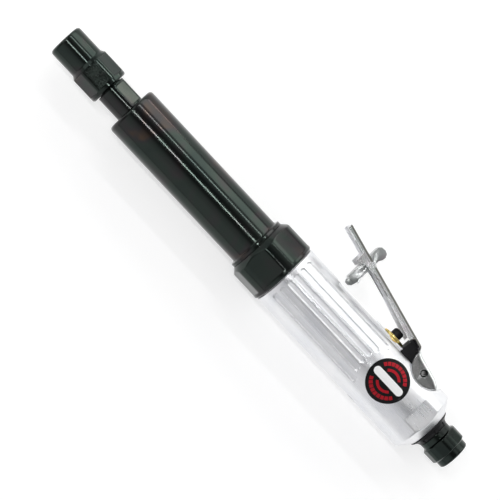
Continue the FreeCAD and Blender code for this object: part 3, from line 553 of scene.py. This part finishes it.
def make_spindle():
    first, last = stations("extension_spindle")
    thread, neck, seat, shaft, tail, relief, centre = 7.2, 8.0, 6.0, 5.5, 5.0, 3.1, 1.0
    neck_start, tube_start, front_seat, rear_seat = 33.4, 47.6, 53.0, 123.8
    outline = rounded([
        (first, 6.35, 0.1), (first, thread, 0.3), (31.5, thread, 0.1), (31.5, thread - 0.6, 0.1),
        (neck_start, thread - 0.6, 0.1), (neck_start, neck, 0.35), (front_seat, neck, 0.1),
        (front_seat, seat, 0.1), (60, seat, 0.1), (60, shaft, 0.1), (rear_seat, shaft, 0.1),
        (rear_seat, seat, 0.1), (131, seat, 0.1), (131, tail, 0.1), (last, tail, 0.4), (last, centre, 0.1),
        (46, centre, 0), (45, relief, 0.1), (28, relief, 0.1), (28, 4.7, 0.1),
    ], 0.35)
    outline = sparser(outline, tube_start, 1.4)
    flat = hexagon(14.0, 40.9, neck_start + 1.1, tube_start - 0.7, blend=0.25, sides=2)
    pitch = 1.0

    def shape(along, radius, angle):
        radius = flat(along, radius, angle)
        crest = 0.5 + 0.5 * np.cos(math.tau * (along / pitch - angle / math.tau))
        threaded = window(along, first + 0.8, 31.0, 0.6) * (radius > 7.0)
        return radius - 0.35 * crest * threaded
    mesh = skin("extension_spindle_skin", outline, 160, shape)
    piece("extension_spindle_skin", mesh, "extension_spindle")


def make_tube():
    first, last = stations("extension_tube")
    mouth, barrel, shoulder, spigot, bore, ring_groove = 8.7, 14.0, 15.95, 13.5, 12.0, 12.75
    groove_start, groove_end, collar, collar_end = 130.2, 131.6, 138.4, 140.45
    outline = rounded([
        (first, mouth, 0.4), (first, barrel, 2.0), (collar, barrel, 1.8), (collar + 0.2, shoulder, 0.5),
        (collar_end, shoulder, 0.25), (collar_end, spigot, 0), (last, spigot, 0.3), (last, bore, 0.3),
        (groove_end, bore, 0), (groove_end, ring_groove, 0), (groove_start, ring_groove, 0),
        (groove_start, bore, 0), (first + 3, bore, 0.1), (first + 3, mouth, 0.3),
    ], 3.0)
    piece("extension_tube_skin", skin("extension_tube_skin", outline, 224), "extension_tube")


def make_clamp_nut():
    first, last = stations("clamp_nut")
    bore, thread, shoulder, body = 13.5, 16.2, 15.95, 18.8
    outline = rounded([
        (first + 0.05, bore, 0), (first + 0.05, shoulder, 0.35), (first + 3.1, body, 0.5),
        (last - 0.9, body, 0.2), (last, body - 0.9, 0.2), (last, thread, 0.15), (149.0, thread, 0),
        (149.0, bore, 0.2),
    ], 0.22)
    flats = hexagon(35.2, -21.2, first - 2, last - 2.4, blend=0.4)
    piece("clamp_nut_skin", skin("clamp_nut_skin", outline, 224, flats), "clamp_nut")


# ---------------------------------------------------------------- handle
GRIP, GRIP_START = 18.25, 160.4
OUTSIDE = 15.5
FLUTE_HALF, FLUTE_DEPTH, FLUTE_START, FLUTE_PITCH = 1.5, 0.8, 163.1, 4.54
BADGE_STATION, BADGE_RADIUS = 233.1, 11.3
BUSHING_STATION, REGULATOR_STATION = 221.4, 228.7
PIVOT, CATCH_PIN = (244.1, 16.6), (186.9, 34.4)


def flute_depth(along, height):
    """0 on the lands and 1 on the floor of a flute. The rear ends lie on an arc round the badge."""
    depth = np.zeros_like(along)
    for index in range(6):
        level = (index - 2.5) * FLUTE_PITCH
        end = BADGE_STATION - math.sqrt((BADGE_RADIUS + 4.3) ** 2 - level ** 2)
        past = np.maximum(np.maximum(FLUTE_START + FLUTE_HALF - along, along - end + FLUTE_HALF), 0)
        away = np.hypot(past, height - level)
        depth = np.maximum(depth, 1 - rise(away, FLUTE_HALF - 0.18, 0.5))
    return depth


def grip_radius(along, radius, angle):
    """The grip's outer radius: flutes, wrench flats, and the lever's ledges, slot, ear pockets and lug."""
    sine = np.maximum(np.sin(angle), 0.05)
    cosine = np.maximum(np.abs(np.cos(angle)), 0.02)
    height = GRIP * np.sin(angle)
    width = GRIP * np.abs(np.cos(angle))
    on_lever_side = np.sin(angle) > 0.05
    outer = radius > OUTSIDE
    result = radius - FLUTE_DEPTH * flute_depth(along, height) * outer
    wrench_half, wrench_start = 16.7, 252.9
    flat = rise(along, wrench_start, 0.12)
    result += (soft_min(result, wrench_half / cosine, 0.3) - result) * flat * outer

    def mill(level, beside, share):
        """Takes away what lies above a level, apart from a rib of the given half width."""
        limit = soft_max(level / sine, beside / cosine, 0.25) if beside else level / sine
        return (soft_min(result, limit, 0.25) - result) * share * outer * on_lever_side

    # Ledges beside the rib under the lever, and a slot in the rib's front for the catch.
    ledge, rib_half, slot_floor, slot_half = 15.3, 6.2, 15.9, 5.2
    result += mill(ledge, rib_half, window(along, 182.0, 238.5))
    result += mill(slot_floor, 0, window(along, 180.5, 209.0) * (1 - rise(width, slot_half, 0.3)))
    # Round pockets for the lever's ears, and the slope of the lug between them.
    pocket_station, pocket_height, pocket_radius, lug_half = 244.6, 21.5, 11.6, 7.0
    across = np.abs(along - pocket_station)
    pocket = pocket_height - np.sqrt(np.maximum(pocket_radius ** 2 - across ** 2, 0))
    result += mill(pocket, lug_half, 1.0 * (across < pocket_radius - 0.01))
    slope_start, slope_end = 244.0, 256.4
    slope = np.interp(along, [slope_start, 249.5, slope_end], [18.2, 16.9, 15.0])
    result += mill(slope, 0, window(along, slope_start, slope_end) * (1 - rise(width, lug_half + 0.4, 0.5)))
    # Spot faces round the valve bushing and, on the far side, the regulator.
    seat_level, seat_radius, regulator_level, regulator_radius = 16.3, 6.35, 17.0, 2.75
    seat = np.hypot(along - BUSHING_STATION, width)
    result += mill(seat_level, 0, 1 - rise(seat, seat_radius, 0.25))
    hole = np.hypot(along - REGULATOR_STATION, width)
    below = np.sin(angle) < -0.5
    depth = regulator_level / np.maximum(-np.sin(angle), 0.5)
    result += (np.minimum(result, depth) - result) * (1 - rise(hole, regulator_radius, 0.35)) * below * outer
    return result


def handle_rows():
    """Stations for the grip's rings: close together only where its shape changes along it."""
    rows = [GRIP_START + ahead for ahead in (0, 0.05, 0.2, 0.4, 0.7, 1.2)]
    for start, end, step in ((162.2, 167, 0.25), (167, 180, 1.3), (180.1, 182.9, 0.2), (183, 207, 1.2),
                             (207, 217, 0.3), (217, 238, 0.42), (238, 239.2, 0.12), (239.2, 252.6, 0.4),
                             (252.8, 253.0, 0.05), (253.2, 256.2, 0.42), (256.25, 256.6, 0.1),
                             (256.8, 261.2, 0.6)):
        rows += list(np.arange(start, end - 1e-6, step))
    return rows


def make_handle():
    bore, thread, inlet, passage = 14.8, 16.2, 6.65, 2.4
    silencer_out, silencer_in, rim, end = 10.9, 7.7, 11.75, 266.5
    front = [(150.0, bore), (150.0, thread - 0.4), (150.4, thread), (GRIP_START, thread),
             (GRIP_START, GRIP - 0.35)]
    grip = [(along, GRIP - max(0.0, GRIP_START + 0.35 - along)) for along in handle_rows()]
    cone = rounded([(250, GRIP, 0), (261.6, GRIP, 1.6), (end, rim, 0.5), (end, silencer_out, 0.1),
                    (262, silencer_out, 0)], 0.35)
    cone = [tuple(point) for point in cone if point[0] > 261.0 and point[1] > silencer_out - 0.05]
    inner = [(261.8, silencer_out), (261.8, silencer_in), (end - 0.3, silencer_in), (end, silencer_in - 0.2),
             (end, inlet + 0.2), (end - 0.2, inlet), (252.3, inlet), (252.3, passage), (207.5, passage),
             (207.5, bore)]
    outline = np.array(front + grip[1:] + cone + inner)

    def depth(along, radius, angle):
        flute = flute_depth(along, GRIP * np.sin(angle)) * (radius > OUTSIDE)
        milled = (radius < GRIP - 0.9) & (np.sin(angle) > 0.5)
        return np.maximum(flute, 0.45 * milled)
    mesh = skin("handle_skin", outline, 320, grip_radius, values=("cast_depth", depth))
    item = piece("handle_skin", mesh, "handle", smooth=44.0)
    drill(item, [
        upright_cutter("valve_hole", BUSHING_STATION, 5.5, 0.05, 17.0),
        upright_cutter("valve_chamber", BUSHING_STATION, 4.2, -8.5, 0.2),
        upright_cutter("regulator_hole", REGULATOR_STATION, 2.68, -18.6, -0.1),
        pin_cutter("pivot_hole", *PIVOT, 2.03),
    ], 44.0)


# ---------------------------------------------------------------- badge
PRINT_BASE = GRIP + 0.235


def slab(name, top, bottom):
    """A closed thin plate between two grids of points."""
    rows, columns = top.shape[:2]
    count = rows * columns
    index = np.arange(count).reshape(rows, columns)
    quads = np.stack([index[:-1, :-1], index[:-1, 1:], index[1:, 1:], index[1:, :-1]], -1).reshape(-1, 4)
    rim = np.concatenate([index[0, :-1], index[:-1, -1], index[-1, :0:-1], index[:0:-1, 0]])
    ahead = np.roll(rim, -1)
    walls = np.stack([rim, rim + count, ahead + count, ahead], -1)
    faces = np.concatenate([quads, quads[:, ::-1] + count, walls])
    mesh = bpy.data.meshes.new(name)
    mesh.from_pydata(np.concatenate([top.reshape(-1, 3), bottom.reshape(-1, 3)]).tolist(), [], faces.tolist())
    tidy_mesh(mesh)
    return mesh


def on_grip(level, across, up):
    """A point over the badge's centre, lying at a radius on the grip."""
    turn = np.arcsin(up / GRIP)
    return np.stack(along_spindle(BADGE_STATION + across, level + 0 * across, turn), -1)


def badge_disc():
    face, rim, centre = GRIP + 0.24, GRIP + 0.35, 0.001
    outline = rounded([
        (face, centre, 0), (face, 10.3, 0.1), (rim, 10.55, 0.08), (rim, 11.05, 0.15),
        (face, BADGE_RADIUS, 0.05), (GRIP, BADGE_RADIUS, 0), (GRIP, centre, 0),
    ], 0.9)

    def place(along, radius, angle):
        points = on_grip(along, radius * np.cos(angle), radius * np.sin(angle))
        return points[..., 0], points[..., 1], points[..., 2]
    piece("badge_disc", skin("badge_disc", outline, 128, place=place), "name_badge", INK_BLACK, 30.0)


def badge_arc(name, inner, outer, start, end, ink):
    """A printed arc between two angles in degrees, raised by the thickness of its ink."""
    steps = max(4, round((end - start) / 4))
    radius, angle = np.meshgrid(np.linspace(inner, outer, 3), np.radians(np.linspace(start, end, steps)))
    across, up = radius * np.cos(angle), radius * np.sin(angle)
    mesh = slab(name, on_grip(GRIP + 0.27, across, up), on_grip(PRINT_BASE, across, up))
    piece(name, mesh, "name_badge", ink, 30.0)


def badge_bar(name, half_length, half_height):
    """A plain white bar with round ends across the middle of the badge."""
    across = half_length * np.sin(np.linspace(-math.pi / 2, math.pi / 2, 41))
    short = np.maximum(np.abs(across) - half_length + half_height, 0)
    reach = np.sqrt(np.maximum(half_height ** 2 - short ** 2, 0.0025))
    share = np.linspace(-1, 1, 7)
    up = reach[:, None] * share[None, :]
    across = np.repeat(across[:, None], 7, 1)
    mesh = slab(name, on_grip(GRIP + 0.28, across, up), on_grip(PRINT_BASE, across, up))
    piece(name, mesh, "name_badge", INK_WHITE, 30.0)


def make_badge():
    arc_half, dash_first, dash_pitch, dash_length = 50, 61, 13.8, 11.4
    badge_disc()
    for side, middle in (("upper", 90), ("lower", 270)):
        badge_arc("badge_arc_" + side, 4.7, 6.1, middle - arc_half, middle + arc_half, INK_RED)
        for mark in range(9):
            start = middle - dash_first + mark * dash_pitch
            badge_arc("badge_dash_%s_%d" % (side, mark), 7.6, 9.5, start, start + dash_length, INK_RED)
    badge_bar("badge_bar", 9.6, 2.1)


# ---------------------------------------------------------------- valve and inlet
def make_valve_parts():
    seat, top, rim = 16.3, 19.1, 6.25
    outline = rounded([
        (14.8, 1.98, 0), (14.8, 2.6, 0), (0, 2.6, 0), (0, 5.45, 0.2), (seat, 5.45, 0), (seat, 5.5, 0),
        (seat + 1.6, rim, 0.3), (top - 0.2, rim, 0.25), (top, rim - 0.5, 0.2), (top, 4.4, 0.35),
        (seat + 1.0, 3.5, 0.4), (seat + 0.8, 1.98, 0.1),
    ], 0.35)

    def grooved(along, radius, angle):
        groove = window(along, top - 1.35, top - 1.0, 0.2) * (radius > rim - 0.2)
        return radius - 0.16 * groove
    mesh = skin("valve_bushing_skin", outline, 96, grooved, upright(BUSHING_STATION))
    piece("valve_bushing_skin", mesh, "valve_bushing")
    stem, head, dome = 1.9, 3.0, 23.2
    outline = rounded([
        (-0.9, 0.001, 0), (-0.9, stem, 0.15), (dome - 4.1, stem, 0.1), (dome - 4.1, head, 0.25),
        (dome, head, 2.9), (dome, 0.001, 0),
    ], 0.4)
    piece("push_pin_skin", skin("push_pin_skin", outline, 64, place=upright(BUSHING_STATION)), "push_pin")


def make_inlet():
    inner, bore, relief, thread, barrel, collar, corner, nose = 4.0, 5.7, 6.0, 6.6, 7.0, 8.65, 10.1, 8.75
    rear, hex_start, hex_end, end = 270.4, 273.5, 282.0, 286.0
    outline = rounded([
        (252.5, inner, 0.1), (252.5, thread, 0.4), (263.3, thread, 0), (263.3, 5.55, 0), (264.7, 5.55, 0),
        (264.7, thread, 0), (266.5, thread, 0), (266.5, barrel, 0.1), (267.9, barrel, 0.1), (267.9, 6.15, 0),
        (268.9, 6.15, 0), (268.9, barrel, 0.1), (rear, barrel, 0.1), (rear, collar, 0.4),
        (hex_start, collar, 0.15), (hex_start, corner - 0.9, 0.1), (hex_start + 0.8, corner, 0.25),
        (hex_end - 0.8, corner, 0.25), (hex_end, corner - 0.9, 0.1), (hex_end, nose, 0.15), (end, nose, 1.4),
        (end, bore + 0.7, 0.15), (end - 0.6, bore, 0.05), (274, bore, 0), (274, relief, 0), (273, relief, 0),
        (273, inner, 0.1),
    ], 0.16)
    flat = hexagon(19.5, -17.0, hex_start - 0.5, hex_end + 1.0, 0.1)
    pitch = 1.337

    def shape(along, radius, angle):
        wall = window(along, 274.6, end - 0.7, 0.5) * (np.abs(radius - bore) < 0.3)
        crest = 0.5 + 0.5 * np.cos(math.tau * (along / pitch - angle / math.tau))
        return flat(along, radius, angle) + 0.42 * crest * wall
    piece("inlet_bushing_skin", skin("inlet_bushing_skin", outline, 144, shape), "inlet_bushing")


def tube_along(name, points, radius, node):
    """A round wire along a smooth path of points, in millimetres, closed at both ends."""
    sides = 14
    path = np.array(points, float)
    ahead = np.gradient(path, axis=0)
    ahead /= np.linalg.norm(ahead, axis=1)[:, None]
    normal = np.cross(ahead[0], (0.31, 0.57, 0.76))
    rows = []
    for place, direction in zip(path, ahead):
        normal = normal - direction * normal.dot(direction)
        normal /= np.linalg.norm(normal)
        other = np.cross(direction, normal)
        turn = np.linspace(0, math.tau, sides, endpoint=False)
        rows.append(place + radius * (np.cos(turn)[:, None] * normal + np.sin(turn)[:, None] * other))
    grid = np.array(rows)
    count = len(rows)
    faces = [[row * sides + k, row * sides + (k + 1) % sides, (row + 1) * sides + (k + 1) % sides,
              (row + 1) * sides + k] for row in range(count - 1) for k in range(sides)]
    faces += [list(range(sides)), [(count - 1) * sides + k for k in range(sides)]]
    points = grid.reshape(-1, 3) * (-MM, -MM, MM)
    mesh = bpy.data.meshes.new(name)
    mesh.from_pydata(points.tolist(), [], faces)
    tidy_mesh(mesh)
    return piece(name, mesh, node, smooth=50.0)


def make_catch_spring():
    """Two turns round the catch pin, with one leg down the catch and one along the lever."""
    station, height = CATCH_PIN
    radius, wire, pitch, side = 2.0, 0.3, 0.7, 5.5
    start, turns = math.radians(217), 2.3
    points = []
    low = np.array((station - 1.6, height - 1.2, side))
    tip = low + np.array((3.1, -9.6, 0)) / math.hypot(3.1, 9.6) * 10.4
    points += [tip + (low - tip) * share for share in np.linspace(0, 0.97, 22)]
    for share in np.linspace(0, 1, 90):
        angle = start - share * turns * math.tau
        points.append(np.array((station + radius * math.cos(angle), height + radius * math.sin(angle),
                                side + share * 2 * pitch)))
    high = points[-1]
    end = np.array((station + 7.4, height - 3.2, side + 2 * pitch))
    points += [high + (end - high) * share for share in np.linspace(0.05, 1, 16)]
    tube_along("catch_spring_wire", points, wire, "catch_spring")


def make_valve_spring():
    low, climb, turns, radius, wire = -8.15, 4.9, 4.1, 2.4, 0.3
    points = []
    for share in np.linspace(0, 1, 150):
        angle = share * turns * math.tau
        across, width = radius * math.cos(angle), radius * math.sin(angle)
        points.append((BUSHING_STATION + across, low + share * climb, width))
    spring = tube_along("valve_spring_wire", points, wire, "valve_spring")
    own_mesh(spring)


# ---------------------------------------------------------------- lever and catch
SHEET, LEVER_HALF, BEND = 1.3, 8.8, 1.9
LEVER_TIP, STEP_DOWN, LEVER_END = 165.0, 233.4, 254.2
NO_WALL = 40.0


def between(station, *knots):
    """Height at a station on the straight lines through (station, height) knots."""
    return np.interp(station, *zip(*knots))


def lever_top(station):
    """Height of the lever's back: a straight slope, a step down behind the cushion, and the ears' back."""
    slope = 25.0 + 0.239 * (234.1 - station)
    ear = between(station, (STEP_DOWN, 25.17), (234.2, 24.2), (235.2, 22.9), (238, 21.7), (249.8, 18.9),
                  (252.6, 17.6), (LEVER_END, 16.4))
    return np.where(station < STEP_DOWN, slope, ear)


def lever_low(station):
    """Height of the sheet's cut edge: the side walls, nothing but web over the cushion, then the ears."""
    top = lever_top(station)
    wall = between(station, (179.6, 30.4), (182.4, 30.0), (183.4, 32.2), (191.6, 32.2), (202.3, 29.6),
                   (214.8, 25.9), (221.0, 24.0), (227.2, 22.3), (227.5, NO_WALL))
    wall = np.where(station < 179.4, top - 2.6, wall)
    drop = np.sqrt(np.maximum(10.5 ** 2 - (station - 245.1) ** 2, 0))
    heel = between(station, (252.9, 14.5), (LEVER_END, 16.0))
    ear = np.where(station > 252.9, heel, 21.55 - drop)
    low = np.where(station < 229, wall, np.where(station < 234.65, NO_WALL, ear))
    return np.minimum(low, top - SHEET)


def lever_section(top, low, shrink):
    """The bent sheet's closed outline as (width, height) points, from the badge side's cut edge and round."""
    half, bend, edge = LEVER_HALF - shrink, BEND, 0.16
    arc = np.linspace(0, math.pi / 2, 9)
    outside = [(half - edge, low), (half, low + edge), (half, (low + top - bend) / 2)]
    outside += [(half - bend + bend * math.cos(a), top - shrink - bend + bend * math.sin(a)) for a in arc]
    outside += [(share * (half - bend), top - shrink) for share in (0.75, 0.5, 0.25)]
    inner = bend - SHEET
    inside = [(share * (half - bend), top + shrink - SHEET) for share in (0.25, 0.5, 0.75)]
    inside += [(half - bend + inner * math.cos(a), top + shrink - bend + inner * math.sin(a))
               for a in arc[::-1]]
    inside += [(half - SHEET, (low + top - bend) / 2), (half - SHEET, low + edge), (half - SHEET + edge, low)]
    right = [(width, max(height, low)) for width, height in outside]
    left = [(-width, height) for width, height in right[::-1]]
    under = [(width, max(height, low)) for width, height in inside]
    mirrored = [(-width, height) for width, height in under[::-1]]
    return right + [(0, top - shrink)] + left + mirrored + [(0, top + shrink - SHEET)] + under


def make_lever():
    """The pressed lever: one sheet bent down at both sides, with a catch window and holes for two pins."""
    rows = np.concatenate([
        [LEVER_TIP, 165.05, 165.2], np.arange(166, 179, 1.0),
        [179.3, 179.45, 179.6, 180.5, 182.3, 182.9, 183.4], np.arange(184, 227, 1.0),
        [227.1, 227.3, 227.5, 228.5, 230, 232, 233.2, 233.6, 234, 234.4, 234.62],
        [234.68, 234.8, 235, 235.3, 235.7, 236.2], np.arange(236.8, 252.6, 0.5),
        [252.9, 253.3, 253.8, 254.1, LEVER_END],
    ])
    eased = 0.15
    shrinks = between(rows, (LEVER_TIP, eased), (LEVER_TIP + eased, 0),
                      (LEVER_END - eased, 0), (LEVER_END, eased))
    edges = [(float(lever_top(s)), float(lever_low(s))) for s in rows]
    sections = [lever_section(top, low, shrink) for (top, low), shrink in zip(edges, shrinks)]
    count = len(sections[0])
    points = [(-s * MM, -height * MM, width * MM)
              for s, section in zip(rows, sections) for width, height in section]
    faces = [(row * count + k, row * count + (k + 1) % count, (row + 1) * count + (k + 1) % count,
              (row + 1) * count + k) for row in range(len(rows) - 1) for k in range(count)]
    half = count // 2
    for first in (0, (len(rows) - 1) * count):
        ring = [first + k for k in range(count)]
        faces += [(ring[k], ring[k + 1], ring[count - 2 - k], ring[count - 1 - k]) for k in range(half - 1)]
    mesh = bpy.data.meshes.new("throttle_lever_sheet")
    mesh.from_pydata(points, [], faces)
    # Painted shade per point: full along the bends and part of a wall's cut edge, 0.54 on the ears and 0.44
    # on the tab.
    painted_shade_levels, inners = [], []
    for s, (top, low), section in zip(rows, edges, sections):
        for place, (width, height) in enumerate(section):
            outside = place < half
            on_bend = abs(width) > LEVER_HALF - 0.55 * BEND and height > top - 1.5 and s < 234.3
            on_edge = 190.5 < s < 203.2 and height < low + 0.2
            on_ear = s > 235 and abs(width) > LEVER_HALF - 0.2 and height < top - BEND + 0.05
            on_tab = 179.5 < s < 183.3 and height < top - 2.5
            painted_shade_levels.append(1.0 if on_bend or on_edge else 0.54 if on_ear else 0.44 if on_tab else 0.0)
            # Marks the inside of the sheet, which the plate's paint lightens as painted light and roughens.
            inners.append(0.0 if outside else 1.0)
    for name, values in (("painted_shade", painted_shade_levels), ("inner_side", inners)):
        mesh.attributes.new(name, "FLOAT", "POINT").data.foreach_set("value", values)
    tidy_mesh(mesh)
    item = piece("throttle_lever_sheet", mesh, "throttle_lever", smooth=38.0)
    tools = [
        pin_cutter("pivot_cutter", *PIVOT, 2.07), pin_cutter("catch_pin_cutter", *CATCH_PIN, 1.05),
        box_cutter("window_cutter", (173, 192), (30, 45), (-5.2, 5.2)),
    ]
    drill(item, tools, 38.0)


def make_small_parts():
    dressed("safety_catch", 0.18).data.materials[0] = DARKER_PLATE
    dressed("collet", 0.15)
    cushion = dressed("lever_cushion", 0.5, 3)
    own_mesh(cushion)
    dressed("lever_pivot_pin", 0.15).data.materials[0] = BLACKED
    dressed("exhaust_deflector", 0.15)


make_collet_nut()
make_spindle()
make_tube()
make_clamp_nut()
make_handle()
make_badge()
make_valve_parts()
make_inlet()
make_catch_spring()
make_valve_spring()
make_lever()
make_small_parts()


# ---------------------------------------------------------------- studio
FLOOR_LEVEL = cad_low.z


def make_floor():
    mesh = bpy.data.meshes.new("studio_floor")
    size = 30.0
    mesh.from_pydata([(x * size, y * size, FLOOR_LEVEL) for x, y in ((-1, -1), (1, -1), (1, 1), (-1, 1))],
                     [], [(0, 1, 2, 3)])
    floor = placed("studio_floor", mesh)
    paint = Paint("studio_paper", Roughness=0.7, Emission_Color=(1.0, 1.0, 1.0, 1.0))
    # Painted light: the floor glows, which washes out the tool's shadow on it, and both its glow and its
    # colour are brightest round the tool and drop to about half by 1.8 m away, a painted pool of light.
    middle = (cad_low + cad_high) / 2
    away = paint.node("ShaderNodeVectorMath", {"operation": "DISTANCE"})
    paint.feed(away.inputs[0], paint.place)
    paint.feed(away.inputs[1], (middle.x, middle.y, FLOOR_LEVEL))
    painted_light_pool = paint.spread(away.outputs["Value"], 0.35, 1.8, 1.0, 0.52)
    fibre = paint.spread(paint.noise(3.0, 2.0), 0.3, 0.7, 0.60, 0.63)
    level = paint.math("MULTIPLY", painted_light_pool, fibre)
    tint = paint.node("ShaderNodeCombineColor", Red=level, Green=level, Blue=level)
    paint.set("Base Color", tint.outputs["Color"])
    paint.set("Emission Strength", paint.math("MULTIPLY", painted_light_pool, 0.55))
    mesh.materials.append(paint.material)


def softbox(name, place, aim, width, length, power, colour=(1, 1, 1), along=(1, 0, 0)):
    """An area light at a place, aimed at a point. Its length runs along the given direction."""
    data = bpy.data.lights.new(name, "AREA")
    data.shape = "RECTANGLE"
    data.size = length
    data.size_y = width
    data.energy = power
    data.color = colour
    light = placed(name, data)
    back = (Vector(place) - Vector(aim)).normalized()
    side = Vector(along)
    side = (side - back * side.dot(back)).normalized()
    up = back.cross(side)
    light.matrix_world = Matrix.Translation(place) @ Matrix((side, up, back)).transposed().to_4x4()
    light.visible_camera = False


def greys(stops):
    """Grey stops for a ramp, a touch cooler than neutral."""
    return [(at, (level, level, level * 1.02)) for at, level in stops]


def make_sky():
    """A pale room with a dark ceiling band along the tool, which gives the metal its dark middle."""
    world = bpy.data.worlds.new("studio")
    world.use_nodes = True
    bpy.context.scene.world = world
    sky = Nodes(world.node_tree)
    split = sky.node("ShaderNodeSeparateXYZ", Vector=sky.node("ShaderNodeTexCoord").outputs["Generated"])
    tilt = sky.math("ARCTAN2", split.outputs["Y"], split.outputs["Z"])
    by_degrees = [(-90, 0.90), (-62, 0.85), (-44, 0.62), (-28, 0.42), (-18, 0.15), (14, 0.15), (28, 0.55),
                  (50, 0.75), (90, 0.78)]
    band = sky.ramp(sky.spread(tilt, -math.pi / 2, math.pi / 2),
                    greys((degrees / 180 + 0.5, level) for degrees, level in by_degrees))
    by_height = [(0.0, 0.62), (0.12, 0.55), (0.30, 0.30), (0.55, 0.16), (0.8, 0.30)]
    end_wall = sky.ramp(split.outputs["Z"], greys(by_height))
    towards_end = sky.spread(sky.math("ABSOLUTE", split.outputs["X"]), 0.22, 0.5)
    room = sky.mix(towards_end, band, end_wall)
    horizon = sky.spread(split.outputs["Z"], 0.20, 0.02)
    sky.feed(sky.tree.nodes["Background"].inputs["Color"], sky.mix(horizon, room, (0.70, 0.70, 0.71, 1)))


def make_studio():
    bpy.context.scene.view_settings.view_transform = "Standard"
    make_sky()
    aim = (0.0, 0.0, 0.0)
    softbox("ceiling_strip", (0.5, -0.03, 1.6), (0.5, 0.0, 0.0), 0.06, 1.5, 7.0)
    softbox("lever_strip", (0.5, -0.92, 1.22), (0.5, 0.0, 0.0), 0.06, 1.5, 3.4)
    softbox("lever_wall", (0.5, -1.1, 0.50), (0.5, 0.0, 0.0), 0.7, 1.6, 6.4, (0.98, 1.0, 0.95))
    softbox("lever_card", (-0.39, -0.20, 1.6), (-0.39, -0.20, 0.0), 0.24, 0.07, 0.075)
    softbox("neck_card", (-0.03, -1.1, 0.075), (-0.04, 0.0, 0.0), 0.12, 0.12, 0.2, (1.0, 0.88, 0.84))
    softbox("grip_ceiling", (-1.0, -0.60, 1.5), (-1.0, 0.0, 0.0), 0.5, 1.2, 0.9)
    softbox("inlet_wall", (-0.80, -1.1, 0.50), (-0.80, 0.0, 0.0), 0.7, 0.6, 2.4, (0.98, 1.0, 0.96))
    softbox("front_wall", (1.5, 0.1, 0.8), aim, 1.0, 1.2, 3.0, along=(0, 1, 0))
    softbox("rear_wall", (-1.8, 0.1, 0.8), aim, 1.0, 1.2, 2.0, along=(0, 1, 0))


def make_camera():
    """Nearly straight above the badge side, with the tool on a diagonal."""
    target = Vector((-0.13975, 0.0042, 0.0))
    place = Vector((-0.053, 0.1122, 1.39))
    frame_width = 0.25
    sensor = 36.0
    collet_turn = math.radians(133.1)
    back = (place - target).normalized()
    axis = Vector((1, 0, 0))
    axis = (axis - back * axis.dot(back)).normalized()
    side = Matrix.Rotation(-collet_turn, 3, back) @ axis
    data = bpy.data.cameras.new("camera")
    data.sensor_width = sensor
    data.lens = sensor * (place - target).length / frame_width
    data.clip_start = 0.01
    data.clip_end = 100.0
    camera = placed("camera", data)
    turned = Matrix((side, back.cross(side), back)).transposed()
    camera.matrix_world = Matrix.Translation(place) @ turned.to_4x4()
    bpy.context.scene.camera = camera


make_floor()
make_studio()
make_camera()
